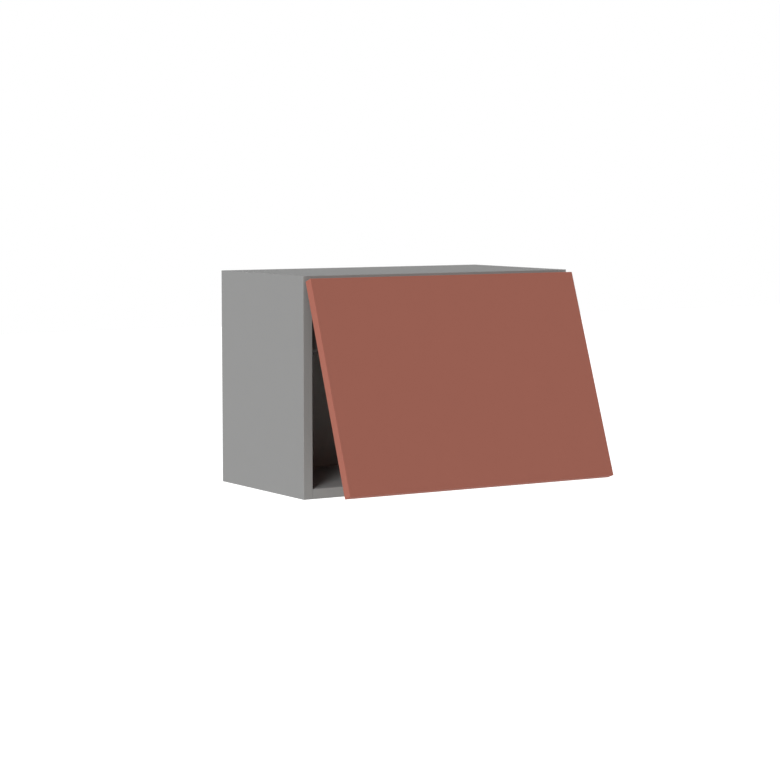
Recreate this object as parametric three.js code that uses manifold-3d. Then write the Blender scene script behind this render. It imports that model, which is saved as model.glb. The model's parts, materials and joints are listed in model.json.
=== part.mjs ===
// Wall cabinet with a lift-up flap door, in millimetres.
// X runs to the right, Y back towards the wall and Z up. The origin lies on the wall plane, mid-width,
// at the height where the hanger hooks sit on the wall rail. The flap is modelled part-way open.
import * as THREE from 'three';
import { mergeVertices } from 'three/addons/utils/BufferGeometryUtils.js';
import Module from 'manifold-3d';

const wasm = await Module();
wasm.setup();

// ---------- driving dimensions ----------
// Carcass
const WIDTH = 600;
const HEIGHT = 416;
const DEPTH = 320;
const BOARD = 19;
const PANEL_JOINT = 0.2;
const BACK_THICKNESS = 8;
const BACK_RECESS = 18;
const GROOVE_DEPTH = 8;
// Running and seating clearances, and how far a cutting shape runs past what it cuts
const SEAT_GAP = 0.3;
const PIN_PLAY = 0.3;
const OVERCUT = 1;
// Facets of round faces
const ROUND_SIDES = 16;
const CUP_SIDES = 32;
const CORNER_STEPS = 5;
// Flap door
const DOOR_THICKNESS = 19;
const DOOR_GAP = 2.8;
const DOOR_TOP_REVEAL = 5;
const DOOR_SIDE_REVEAL = 2;
const DOOR_OVERHANG = 2;
const DOOR_OPEN_DEG = 19.8;
const BUMPER_RADIUS = 4;
const BUMPER_RISE = 30;
// Panel connectors
const CONNECTOR_BACK = 50;
const DOWEL_BACK = 250;
const CAM_RADIUS = 7.3;
const CAM_DEPTH = 12.4;
const CAM_CENTRE = 24;
const CAM_SLOT_LENGTH = 8.8;
const CAM_SLOT_WIDTH = 2;
const CAM_SLOT_DEPTH = 2;
const BOLT_RADIUS = 3.5;
const BOLT_INTO_SIDE = 11;
const BOLT_REACH = 21;
const DOWEL_RADIUS = 4;
const DOWEL_INTO_SIDE = 10;
const DOWEL_REACH = 20;
// Hangers
const HOOK_DROP = 36;
const HANGER_LENGTH = 62;
const HANGER_HEIGHT = 44;
const HANGER_WIDTH = 13;
const HANGER_STEEL = 2;
const HANGER_COVER_WALL = 2;
const HOOK_THICKNESS = 5;
const HOOK_BAR_HEIGHT = 8;
const HOOK_LIP_DROP = 9;
const HOOK_LIP_THICKNESS = 3;
const HOOK_TO_WALL = 1.2;
const HOOK_INTO_BODY = 52;
const HOOK_CHAMFER = 2;
const HANGER_SCREW_RADIUS = 3;
const HANGER_SCREW_HEAD_RADIUS = 5;
const HANGER_SCREW_HEAD = 2.5;
const HANGER_SCREW_LENGTH = 34;
const HANGER_SCREW_RISE = 13;
const HANGER_SLOT_LENGTH = 6;
const HANGER_SLOT_WIDTH = 1.2;
const HANGER_SLOT_DEPTH = 1.5;
const BACK_NOTCH_WIDTH = 14;
// Cup hinges
const HINGE_INSET = 100;
const HINGE_PIN_BACK = 18;
const HINGE_PIN_DROP = 34;
const HINGE_PIN_RADIUS = 2;
const HINGE_LINK_HALF_WIDTH = 5;
const HINGE_LINK_TURN = 0.4;
const HINGE_LINK_BAR = 3.2;
const HINGE_LINK_NECK = 1.8;
const HINGE_LINK_NECK_LENGTH = 11;
const HINGE_LINK_NECK_DEG = 2;
const HINGE_LINK_EYE = 5.5;
const HINGE_PLATE_THICKNESS = 5;
const HINGE_PLATE_HALF_WIDTH = 9;
const HINGE_PLATE_FRONT = 20;
const HINGE_PLATE_LENGTH = 56;
const HINGE_WING_BACK = 17;
const HINGE_WING_HALF_LENGTH = 7;
const HINGE_WING_HALF_SPAN = 22;
const HINGE_WING_THICKNESS = 2.5;
const HINGE_SCREW_HALF_SPACING = 16;
const HINGE_SCREW_RADIUS = 2.2;
const HINGE_ARM_STEEL = 2.4;
const HINGE_ARM_DEPTH = 12;
const HINGE_ARM_TAIL_DEPTH = 6;
const HINGE_ARM_TAPER = 16.5;
const HINGE_ARM_BOSS = 6.5;
const CUP_RADIUS = 17.5;
const CUP_DEPTH = 12;
const CUP_WALL = 1.5;
const CUP_FLANGE = 1.2;
const CUP_FLANGE_HALF_LENGTH = 26;
const CUP_FLANGE_HALF_HEIGHT = 12;
const CUP_EDGE_DISTANCE = 20;
const CUP_PIN_DEPTH = 2.7;
const CUP_PIN_DROP = 10.5;
const CUP_PIN_RADIUS = 1.3;
const CUP_PIN_END_ROOM = 1;
const CUP_EYE = 2.9;
// Stay units
const STAY_FRONT = 22;
const STAY_LENGTH = 96;
const STAY_TOP_GAP = 7;
const STAY_HEIGHT = 120;
const STAY_THICKNESS = 26;
const STAY_WALL = 2.5;
const STAY_CORNER = 10;
const STAY_PIVOT_BACK = 58;
const STAY_PIVOT_DROP = 62;
const STAY_PIVOT_RADIUS = 4;
const STAY_PIVOT_HEAD = 6.5;
const STAY_PIVOT_HEAD_THICKNESS = 1.5;
const LEVER_STAND_OFF = 1.9;
const LEVER_THICKNESS = 5;
const LEVER_LENGTH = 61.6;
const LEVER_DEG = -2.18;
const LEVER_BAR = 7;
const LEVER_EYE = 11;
const LEVER_TIP_EYE = 8;
const LEVER_HUB = 8;
const STAY_LINK_THICKNESS = 5;
const STAY_LINK_BAR = 5;
const STAY_LINK_EYE = 7;
const STAY_LAYER_GAP = 0.5;
const STAY_PIN_RADIUS = 3;
const STAY_PIN_HEAD = 5;
const STAY_PIN_HEAD_THICKNESS = 1;
const BRACKET_REACH = 22.8;
const BRACKET_DROP = 66;
const BRACKET_STEEL = 2.5;
const BRACKET_HALF_HEIGHT = 20;
const BRACKET_PIN_PLAY = 0.8;
const BRACKET_EYE = 7;
const BRACKET_TAB = 5;
const SPRING_RADIUS = 12.5;
const SPRING_WIRE_RADIUS = 1.2;
const SPRING_END_ROOM = 0.8;
const SPRING_TURNS = 5;
const SPRING_LEG = 24;
const SPRING_LOOP_STEPS = 24;
const SPRING_WIRE_SIDES = 6;
const SPRING_GAP_POINTS = 200;

// ---------- places worked out from them ----------
const FRONT = -DEPTH;
const TOP = HOOK_DROP;
const UNDERSIDE = TOP - HEIGHT;
const INNER_TOP = TOP - BOARD;
const INNER_BOTTOM = UNDERSIDE + BOARD;
const INNER_X = WIDTH / 2 - BOARD;
const BACK_REAR = -BACK_RECESS;
const BACK_FRONT = BACK_REAR - BACK_THICKNESS;
const DOOR_BACK = FRONT - DOOR_GAP;
const DOOR_TOP = TOP - DOOR_TOP_REVEAL;
const DOOR_BOTTOM = UNDERSIDE - DOOR_OVERHANG;
const DOOR_HALF_WIDTH = WIDTH / 2 - DOOR_SIDE_REVEAL;
const HINGE_X = INNER_X - HINGE_INSET;
const OPEN = THREE.MathUtils.degToRad(DOOR_OPEN_DEG);

// Points in the side plane are Vector2(y, z).
const at = (y, z) => new THREE.Vector2(y, z);
const armPin = at(FRONT + HINGE_PIN_BACK, INNER_TOP - HINGE_PIN_DROP);
const cupPin = at(DOOR_BACK - CUP_PIN_DEPTH, DOOR_TOP - CUP_PIN_DROP);
const leverPin = at(FRONT + STAY_PIVOT_BACK, INNER_TOP - STAY_PIVOT_DROP);
const bracketPin = at(DOOR_BACK + BRACKET_REACH, DOOR_TOP - BRACKET_DROP);

// Opening turns the flap by -angle about X. The hinge link turns the other way by a share of it.
const turned = (point, centre, angle) => point.clone().rotateAround(centre, angle);
const cupPinOpen = turned(cupPin, armPin, OPEN * HINGE_LINK_TURN);
const openWithDoor = (point) => turned(point.clone().sub(cupPin).add(cupPinOpen), cupPinOpen, -OPEN);
const bracketPinOpen = openWithDoor(bracketPin);
const leverAngle = THREE.MathUtils.degToRad(LEVER_DEG);
const linkPin = at(
  leverPin.x - LEVER_LENGTH * Math.sin(leverAngle),
  leverPin.y - LEVER_LENGTH * Math.cos(leverAngle),
);

// ---------- solids ----------
function toSolid(geometry) {
  const bare = geometry.clone();
  bare.deleteAttribute('normal');
  bare.deleteAttribute('uv');
  const merged = mergeVertices(bare, 1e-4);
  return new wasm.Manifold(new wasm.Mesh({
    numProp: 3,
    vertProperties: new Float32Array(merged.attributes.position.array),
    triVerts: new Uint32Array(merged.index.array),
  }));
}

function toGeometry(solid) {
  const mesh = solid.getMesh();
  const geometry = new THREE.BufferGeometry();
  geometry.setAttribute('position', new THREE.BufferAttribute(new Float32Array(mesh.vertProperties), 3));
  geometry.setIndex(new THREE.BufferAttribute(new Uint32Array(mesh.triVerts), 1));
  geometry.computeVertexNormals();
  return geometry;
}

const join = (...solids) => solids.reduce((sum, next) => sum.add(next));
const cut = (body, ...tools) => tools.reduce((left, tool) => left.subtract(tool), body);

function block([x0, x1], [y0, y1], [z0, z1]) {
  const geometry = new THREE.BoxGeometry(Math.abs(x1 - x0), Math.abs(y1 - y0), Math.abs(z1 - z0));
  geometry.translate((x0 + x1) / 2, (y0 + y1) / 2, (z0 + z1) / 2);
  return toSolid(geometry);
}

// A round bar along X, Y or Z between two places on that axis; the centre gives the other two.
function rod(axis, radius, [from, to], [first, second], sides = ROUND_SIDES) {
  const geometry = new THREE.CylinderGeometry(radius, radius, Math.abs(to - from), sides);
  const middle = (from + to) / 2;
  if (axis === 'x') {
    geometry.rotateZ(Math.PI / 2);
    geometry.translate(middle, first, second);
  } else if (axis === 'y') {
    geometry.translate(first, middle, second);
  } else {
    geometry.rotateX(Math.PI / 2);
    geometry.translate(first, second, middle);
  }
  return toSolid(geometry);
}

// An outline in the side plane (y, z), pulled along X.
function profile(shape, [x0, x1]) {
  const geometry = new THREE.ExtrudeGeometry(shape, {
    depth: Math.abs(x1 - x0), bevelEnabled: false, curveSegments: CORNER_STEPS,
  });
  geometry.applyMatrix4(new THREE.Matrix4().makeBasis(
    new THREE.Vector3(0, 1, 0), new THREE.Vector3(0, 0, 1), new THREE.Vector3(1, 0, 0),
  ));
  geometry.translate(Math.min(x0, x1), 0, 0);
  return toSolid(geometry);
}

// A straight bar between two points of the side plane.
function bar(from, to, halfWidth, span) {
  const along = to.clone().sub(from).setLength(halfWidth);
  const across = along.rotateAround(at(0, 0), Math.PI / 2);
  return profile(new THREE.Shape([
    from.clone().add(across),
    from.clone().sub(across),
    to.clone().sub(across),
    to.clone().add(across),
  ]), span);
}

const disc = (centre, radius, span) => rod('x', radius, span, [centre.x, centre.y]);

// Half sizes of the two slots of a crossed screwdriver recess.
const cross = (length, width) => [[length / 2, width / 2], [width / 2, length / 2]];

// A rounded rectangle of the side plane.
function roundedPlate([y0, y1], [z0, z1], radius, span) {
  const shape = new THREE.Shape();
  shape.moveTo(y0 + radius, z0);
  shape.lineTo(y1 - radius, z0);
  shape.absarc(y1 - radius, z0 + radius, radius, -Math.PI / 2, 0, false);
  shape.lineTo(y1, z1 - radius);
  shape.absarc(y1 - radius, z1 - radius, radius, 0, Math.PI / 2, false);
  shape.lineTo(y0 + radius, z1);
  shape.absarc(y0 + radius, z1 - radius, radius, Math.PI / 2, Math.PI, false);
  shape.lineTo(y0, z0 + radius);
  shape.absarc(y0 + radius, z0 + radius, radius, Math.PI, Math.PI * 1.5, false);
  return profile(shape, span);
}

// ---------- the scene graph ----------
const cabinet = new THREE.Group();
const doorGroup = new THREE.Group();
const hingeLinkGroup = new THREE.Group();
doorGroup.position.set(0, cupPinOpen.x, cupPinOpen.y);
doorGroup.rotation.x = -OPEN;
hingeLinkGroup.position.set(0, armPin.x, armPin.y);
hingeLinkGroup.rotation.x = OPEN * HINGE_LINK_TURN;
cabinet.add(doorGroup, hingeLinkGroup);

const melamine = { color: 0x9a9a98, roughness: 0.55, metalness: 0 };
const hardboard = { color: 0x8f8f8c, roughness: 0.65, metalness: 0 };
const lacquer = { color: 0x975f52, roughness: 0.5, metalness: 0 };
const steel = { color: 0xb9bbbd, roughness: 0.3, metalness: 1 };
const zinc = { color: 0x9fa3a6, roughness: 0.4, metalness: 1 };
const greyPlastic = { color: 0x545250, roughness: 0.6, metalness: 0 };
const palePlastic = { color: 0xc9c9c4, roughness: 0.5, metalness: 0 };
const springSteel = { color: 0x55585c, roughness: 0.35, metalness: 1 };
const beech = { color: 0xc8a878, roughness: 0.7, metalness: 0 };
const clearRubber = { color: 0xd8d8d4, roughness: 0.4, metalness: 0 };

function addPiece(name, solid, finish, group = cabinet, pivot = at(0, 0)) {
  const piece = new THREE.Mesh(toGeometry(solid), new THREE.MeshStandardMaterial(finish));
  piece.name = name;
  piece.position.set(0, -pivot.x, -pivot.y);
  group.add(piece);
}

const SIDES = [['left', -1], ['right', 1]];
// Places across the cabinet count from the inner face of a side panel towards the middle.
const inward = (sign, from, to) => [sign * (INNER_X - from), sign * (INNER_X - to)].sort((a, b) => a - b);

// ---------- carcass ----------
const connectorY = FRONT + CONNECTOR_BACK;
const dowelY = FRONT + DOWEL_BACK;
const bottomMid = UNDERSIDE + BOARD / 2;
const topMid = TOP - BOARD / 2;
const boltBore = BOLT_RADIUS + PIN_PLAY;
const dowelBore = DOWEL_RADIUS + PIN_PLAY;

function backGroove(spanX, spanZ) {
  return block(spanX, [BACK_FRONT - SEAT_GAP, BACK_REAR + SEAT_GAP], spanZ);
}

function sidePanel(sign) {
  const board = block([sign * INNER_X, sign * WIDTH / 2], [FRONT, 0], [UNDERSIDE, TOP]);
  const groove = backGroove(
    inward(sign, -GROOVE_DEPTH, OVERCUT),
    [INNER_BOTTOM - GROOVE_DEPTH, INNER_TOP + GROOVE_DEPTH],
  );
  const bores = [bottomMid, topMid].flatMap((z) => [
    rod('x', boltBore, inward(sign, -BOLT_INTO_SIDE - SEAT_GAP, OVERCUT), [connectorY, z]),
    rod('x', dowelBore, inward(sign, -DOWEL_INTO_SIDE - SEAT_GAP, OVERCUT), [dowelY, z]),
  ]);
  return cut(board, groove, ...bores);
}

function crossPanel(z0, z1, innerFace, inwardZ) {
  const half = INNER_X - PANEL_JOINT;
  const board = block([-half, half], [FRONT, 0], [z0, z1]);
  const groove = backGroove(
    [-half - OVERCUT, half + OVERCUT],
    [innerFace - inwardZ * GROOVE_DEPTH, innerFace + inwardZ * OVERCUT],
  );
  const mid = (z0 + z1) / 2;
  const bores = SIDES.flatMap(([, sign]) => [
    rod('x', boltBore, inward(sign, -OVERCUT, BOLT_REACH + SEAT_GAP), [connectorY, mid]),
    rod('x', dowelBore, inward(sign, -OVERCUT, DOWEL_REACH + SEAT_GAP), [dowelY, mid]),
    rod(
      'z',
      CAM_RADIUS + PIN_PLAY,
      [innerFace - inwardZ * (CAM_DEPTH + 2 * SEAT_GAP), innerFace + inwardZ * OVERCUT],
      [sign * (INNER_X - CAM_CENTRE), connectorY],
    ),
  ]);
  return cut(board, groove, ...bores);
}

function backPanel() {
  const half = INNER_X + GROOVE_DEPTH - SEAT_GAP;
  const low = INNER_BOTTOM - GROOVE_DEPTH + SEAT_GAP;
  const high = INNER_TOP + GROOVE_DEPTH - SEAT_GAP;
  const board = block([-half, half], [BACK_FRONT, BACK_REAR], [low, high]);
  const notches = SIDES.map(([, sign]) => block(
    inward(sign, -GROOVE_DEPTH - OVERCUT, BACK_NOTCH_WIDTH),
    [BACK_FRONT - OVERCUT, BACK_REAR + OVERCUT],
    [INNER_TOP - HANGER_HEIGHT, high + OVERCUT],
  ));
  return cut(board, ...notches);
}

SIDES.forEach(([side, sign]) => addPiece(`side_panel_${side}`, sidePanel(sign), melamine));
addPiece('top_panel', crossPanel(INNER_TOP, TOP, INNER_TOP, -1), melamine);
addPiece('bottom_panel', crossPanel(UNDERSIDE, INNER_BOTTOM, INNER_BOTTOM, 1), melamine);
addPiece('back_panel', backPanel(), hardboard);

// ---------- panel connectors ----------
function camConnector(sign, innerFace, inwardZ, mid) {
  const top = innerFace - inwardZ * SEAT_GAP;
  const x = sign * (INNER_X - CAM_CENTRE);
  const drum = rod('z', CAM_RADIUS, [top, top - inwardZ * CAM_DEPTH], [x, connectorY]);
  const boltSlot = rod('x', boltBore, inward(sign, 0, BOLT_REACH + SEAT_GAP), [connectorY, mid]);
  const depths = [top - inwardZ * CAM_SLOT_DEPTH, top + inwardZ * OVERCUT];
  const driverSlots = cross(CAM_SLOT_LENGTH, CAM_SLOT_WIDTH).map(([halfX, halfY]) => block(
    [x - halfX, x + halfX],
    [connectorY - halfY, connectorY + halfY],
    depths,
  ));
  return cut(drum, boltSlot, ...driverSlots);
}

const levels = [
  ['lower', INNER_BOTTOM, 1, bottomMid],
  ['upper', INNER_TOP, -1, topMid],
];
levels.forEach(([level, innerFace, inwardZ, mid]) => SIDES.forEach(([side, sign]) => {
  addPiece(`cam_${level}_${side}`, camConnector(sign, innerFace, inwardZ, mid), zinc);
  addPiece(
    `cam_bolt_${level}_${side}`,
    rod('x', BOLT_RADIUS, inward(sign, -BOLT_INTO_SIDE, BOLT_REACH), [connectorY, mid]),
    steel,
  );
  addPiece(
    `dowel_${level}_${side}`,
    rod('x', DOWEL_RADIUS, inward(sign, -DOWEL_INTO_SIDE, DOWEL_REACH), [dowelY, mid]),
    beech,
  );
}));

// ---------- wall hangers ----------
const hangerRear = BACK_FRONT - SEAT_GAP;
const hangerFront = hangerRear - HANGER_LENGTH;
const hangerTop = INNER_TOP - SEAT_GAP;
const hangerBottom = hangerTop - HANGER_HEIGHT + 2 * SEAT_GAP;
const hangerScrewZ = hangerBottom + HANGER_SCREW_RISE;
const hookMid = SEAT_GAP + HANGER_WIDTH / 2;

function hangerBody(sign) {
  const shell = block(
    inward(sign, SEAT_GAP, SEAT_GAP + HANGER_WIDTH), [hangerFront, hangerRear], [hangerBottom, hangerTop],
  );
  const hollow = block(
    inward(sign, SEAT_GAP + HANGER_STEEL, SEAT_GAP + HANGER_WIDTH - HANGER_STEEL),
    [hangerFront + HANGER_STEEL, hangerRear + OVERCUT],
    [hangerBottom + HANGER_STEEL, hangerTop - HANGER_STEEL],
  );
  const screwHole = rod(
    'y',
    HANGER_SCREW_RADIUS + PIN_PLAY,
    [hangerFront - OVERCUT, hangerFront + HANGER_STEEL + OVERCUT],
    [sign * (INNER_X - hookMid), hangerScrewZ],
  );
  return cut(shell, hollow, screwHole);
}

function hangerHook(sign) {
  const lipRear = -HOOK_TO_WALL;
  const lipFront = lipRear - HOOK_LIP_THICKNESS;
  const innerEnd = hangerRear - HOOK_INTO_BODY;
  return profile(new THREE.Shape([
    at(innerEnd, 0),
    at(lipFront, 0),
    at(lipFront, -HOOK_LIP_DROP),
    at(lipRear, -HOOK_LIP_DROP),
    at(lipRear, HOOK_BAR_HEIGHT - HOOK_CHAMFER),
    at(lipRear - HOOK_CHAMFER, HOOK_BAR_HEIGHT),
    at(innerEnd, HOOK_BAR_HEIGHT),
  ]), inward(sign, hookMid - HOOK_THICKNESS / 2, hookMid + HOOK_THICKNESS / 2));
}

function hangerScrew(sign) {
  const centre = [sign * (INNER_X - hookMid), hangerScrewZ];
  const headBack = hangerFront - SEAT_GAP;
  const headFront = headBack - HANGER_SCREW_HEAD;
  const head = rod('y', HANGER_SCREW_HEAD_RADIUS, [headFront, headBack], centre);
  const shank = rod('y', HANGER_SCREW_RADIUS, [headBack - OVERCUT, headBack + HANGER_SCREW_LENGTH], centre);
  const slots = cross(HANGER_SLOT_LENGTH, HANGER_SLOT_WIDTH).map(([halfX, halfZ]) => block(
    [centre[0] - halfX, centre[0] + halfX],
    [headFront - OVERCUT, headFront + HANGER_SLOT_DEPTH],
    [centre[1] - halfZ, centre[1] + halfZ],
  ));
  return cut(join(head, shank), ...slots);
}

function hangerCover(sign) {
  const clear = SEAT_GAP + HANGER_COVER_WALL;
  const shell = block(
    inward(sign, SEAT_GAP, SEAT_GAP + HANGER_WIDTH + clear),
    [hangerFront - clear, hangerRear],
    [hangerBottom - clear, hangerTop],
  );
  const hollow = block(
    inward(sign, -OVERCUT, SEAT_GAP + HANGER_WIDTH + SEAT_GAP),
    [hangerFront - SEAT_GAP, hangerRear + OVERCUT],
    [hangerBottom - SEAT_GAP, hangerTop + OVERCUT],
  );
  const screwHole = rod(
    'y',
    HANGER_SCREW_HEAD_RADIUS + PIN_PLAY,
    [hangerFront - clear - OVERCUT, hangerFront],
    [sign * (INNER_X - hookMid), hangerScrewZ],
  );
  return cut(shell, hollow, screwHole);
}

SIDES.forEach(([side, sign]) => {
  addPiece(`hanger_body_${side}`, hangerBody(sign), steel);
  addPiece(`hanger_hook_${side}`, hangerHook(sign), steel);
  addPiece(`hanger_screw_${side}`, hangerScrew(sign), zinc);
  addPiece(`hanger_cover_${side}`, hangerCover(sign), palePlastic);
});

// ---------- flap door ----------
const cupCentreZ = DOOR_TOP - CUP_EDGE_DISTANCE;

function doorPanel() {
  const board = block(
    [-DOOR_HALF_WIDTH, DOOR_HALF_WIDTH],
    [DOOR_BACK - DOOR_THICKNESS, DOOR_BACK],
    [DOOR_BOTTOM, DOOR_TOP],
  );
  const bores = SIDES.map(([, sign]) => rod(
    'y',
    CUP_RADIUS + PIN_PLAY,
    [DOOR_BACK - CUP_DEPTH - SEAT_GAP, DOOR_BACK + OVERCUT],
    [sign * HINGE_X, cupCentreZ],
    CUP_SIDES,
  ));
  return cut(board, ...bores);
}

const addDoorPiece = (name, solid, finish) => addPiece(name, solid, finish, doorGroup, cupPin);
addDoorPiece('door_panel', doorPanel(), lacquer);
SIDES.forEach(([side, sign]) => addDoorPiece(
  `bumper_${side}`,
  rod(
    'y',
    BUMPER_RADIUS,
    [DOOR_BACK + SEAT_GAP, FRONT - SEAT_GAP],
    [sign * (INNER_X + BOARD / 2), UNDERSIDE + BUMPER_RISE],
  ),
  clearRubber,
));

// ---------- cup hinges ----------
const armHalf = HINGE_LINK_HALF_WIDTH + STAY_LAYER_GAP + HINGE_ARM_STEEL;
const plateBottom = INNER_TOP - SEAT_GAP - HINGE_PLATE_THICKNESS;
const armTop = plateBottom - SEAT_GAP;

function hingePlate(x) {
  const front = FRONT + HINGE_PLATE_FRONT;
  const seat = INNER_TOP - SEAT_GAP;
  const rail = block(
    [x - HINGE_PLATE_HALF_WIDTH, x + HINGE_PLATE_HALF_WIDTH],
    [front, front + HINGE_PLATE_LENGTH],
    [plateBottom, seat],
  );
  const wingMid = front + HINGE_WING_BACK;
  const wings = block(
    [x - HINGE_WING_HALF_SPAN, x + HINGE_WING_HALF_SPAN],
    [wingMid - HINGE_WING_HALF_LENGTH, wingMid + HINGE_WING_HALF_LENGTH],
    [seat - HINGE_WING_THICKNESS, seat],
  );
  const screwHoles = SIDES.map(([, way]) => rod(
    'z',
    HINGE_SCREW_RADIUS,
    [plateBottom - OVERCUT, seat + OVERCUT],
    [x + way * HINGE_SCREW_HALF_SPACING, wingMid],
  ));
  return cut(join(rail, wings), ...screwHoles);
}

function hingeArm(x) {
  const rear = FRONT + HINGE_PLATE_FRONT + HINGE_PLATE_LENGTH;
  const cheekShape = new THREE.Shape([
    at(rear, armTop),
    at(rear, armTop - HINGE_ARM_TAIL_DEPTH),
    at(armPin.x + HINGE_ARM_TAPER, armTop - HINGE_ARM_DEPTH),
    at(armPin.x + HINGE_LINK_EYE, armPin.y),
    at(armPin.x - HINGE_LINK_EYE, armPin.y),
    at(armPin.x, armTop),
  ]);
  const cheeks = [[-armHalf, -armHalf + HINGE_ARM_STEEL], [armHalf - HINGE_ARM_STEEL, armHalf]].map(
    ([from, to]) => cut(
      join(profile(cheekShape, [x + from, x + to]), disc(armPin, HINGE_ARM_BOSS, [x + from, x + to])),
      disc(armPin, HINGE_PIN_RADIUS + PIN_PLAY, [x + from - OVERCUT, x + to + OVERCUT]),
    ),
  );
  const web = block([x - armHalf, x + armHalf], [armPin.x, rear], [armTop - HINGE_ARM_STEEL, armTop]);
  return join(...cheeks, web);
}

function hingeLink(x) {
  const span = [x - HINGE_LINK_HALF_WIDTH, x + HINGE_LINK_HALF_WIDTH];
  const neckAngle = THREE.MathUtils.degToRad(HINGE_LINK_NECK_DEG);
  const elbow = at(
    cupPin.x - HINGE_LINK_NECK_LENGTH * Math.sin(neckAngle),
    cupPin.y - HINGE_LINK_NECK_LENGTH * Math.cos(neckAngle),
  );
  const body = join(
    disc(cupPin, CUP_EYE, span),
    bar(cupPin, elbow, HINGE_LINK_NECK, span),
    disc(elbow, HINGE_LINK_BAR, span),
    bar(elbow, armPin, HINGE_LINK_BAR, span),
    disc(armPin, HINGE_LINK_EYE, span),
  );
  const through = [span[0] - OVERCUT, span[1] + OVERCUT];
  return cut(
    body,
    disc(cupPin, CUP_PIN_RADIUS + PIN_PLAY, through),
    disc(armPin, HINGE_PIN_RADIUS + PIN_PLAY, through),
  );
}

function hingeCup(x) {
  const floor = DOOR_BACK - CUP_DEPTH;
  const face = DOOR_BACK + SEAT_GAP;
  const centre = [x, cupCentreZ];
  const outside = rod('y', CUP_RADIUS, [floor, face + CUP_FLANGE], centre, CUP_SIDES);
  const flange = block(
    [x - CUP_FLANGE_HALF_LENGTH, x + CUP_FLANGE_HALF_LENGTH],
    [face, face + CUP_FLANGE],
    [cupCentreZ - CUP_FLANGE_HALF_HEIGHT, cupCentreZ + CUP_FLANGE_HALF_HEIGHT],
  );
  const hollowSpan = [floor + CUP_WALL, face + CUP_FLANGE + OVERCUT];
  const inside = rod('y', CUP_RADIUS - CUP_WALL, hollowSpan, centre, CUP_SIDES);
  const pinHole = disc(cupPin, CUP_PIN_RADIUS + PIN_PLAY, [x - CUP_RADIUS, x + CUP_RADIUS]);
  return cut(join(outside, flange), inside, pinHole);
}

const cupChordHalf = Math.sqrt((CUP_RADIUS - SEAT_GAP) ** 2 - (cupPin.y - cupCentreZ) ** 2);
const cupPinHalf = cupChordHalf - CUP_PIN_END_ROOM;
SIDES.forEach(([side, sign]) => {
  const x = sign * HINGE_X;
  addPiece(`hinge_plate_${side}`, hingePlate(x), zinc);
  addPiece(`hinge_arm_${side}`, hingeArm(x), steel);
  addPiece(
    `hinge_arm_pin_${side}`,
    disc(armPin, HINGE_PIN_RADIUS, [x - armHalf, x + armHalf]),
    zinc,
  );
  addPiece(`hinge_link_${side}`, hingeLink(x), steel, hingeLinkGroup, armPin);
  addDoorPiece(`hinge_cup_${side}`, hingeCup(x), steel);
  addDoorPiece(
    `hinge_cup_pin_${side}`,
    disc(cupPin, CUP_PIN_RADIUS, [x - cupPinHalf, x + cupPinHalf]),
    zinc,
  );
});

// ---------- stay units ----------
const stayY = [FRONT + STAY_FRONT, FRONT + STAY_FRONT + STAY_LENGTH];
const stayTop = INNER_TOP - STAY_TOP_GAP;
const stayZ = [stayTop - STAY_HEIGHT, stayTop];
const leverFloor = STAY_THICKNESS + LEVER_STAND_OFF;
const leverRoof = leverFloor + LEVER_THICKNESS;
const linkFloor = leverRoof + STAY_LAYER_GAP;
const linkRoof = linkFloor + STAY_LINK_THICKNESS;
const baseRoof = SEAT_GAP + STAY_WALL;
const cheekInner = STAY_THICKNESS - STAY_WALL;

function stayBase(sign) {
  const plate = roundedPlate(stayY, stayZ, STAY_CORNER, inward(sign, SEAT_GAP, baseRoof));
  const through = inward(sign, -OVERCUT, baseRoof + OVERCUT);
  return cut(plate, disc(leverPin, STAY_PIVOT_RADIUS + PIN_PLAY, through));
}

function stayCover(sign) {
  const openEdge = baseRoof + SEAT_GAP;
  const whole = roundedPlate(stayY, stayZ, STAY_CORNER, inward(sign, openEdge, STAY_THICKNESS));
  const hollow = roundedPlate(
    [stayY[0] + STAY_WALL, stayY[1] - STAY_WALL],
    [stayZ[0] + STAY_WALL, stayZ[1] - STAY_WALL],
    STAY_CORNER - STAY_WALL,
    inward(sign, openEdge - OVERCUT, cheekInner),
  );
  const through = inward(sign, cheekInner - OVERCUT, STAY_THICKNESS + OVERCUT);
  return cut(whole, hollow, disc(leverPin, LEVER_HUB + PIN_PLAY, through));
}

function stayPivot(sign) {
  const headFloor = leverRoof + SEAT_GAP;
  const headRoof = headFloor + STAY_PIVOT_HEAD_THICKNESS;
  return join(
    disc(leverPin, STAY_PIVOT_RADIUS, inward(sign, SEAT_GAP, headRoof)),
    disc(leverPin, STAY_PIVOT_HEAD, inward(sign, headFloor, headRoof)),
  );
}

function stayLever(sign) {
  const span = inward(sign, leverFloor, leverRoof);
  const body = join(
    disc(leverPin, LEVER_EYE, span),
    bar(leverPin, linkPin, LEVER_BAR, span),
    disc(linkPin, LEVER_TIP_EYE, span),
    disc(leverPin, LEVER_HUB, inward(sign, baseRoof + STAY_LAYER_GAP, leverRoof)),
  );
  return cut(
    body,
    disc(leverPin, STAY_PIVOT_RADIUS + PIN_PLAY, inward(sign, 0, leverRoof + OVERCUT)),
    disc(linkPin, STAY_PIN_RADIUS + PIN_PLAY, inward(sign, 0, leverRoof + OVERCUT)),
  );
}

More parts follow.
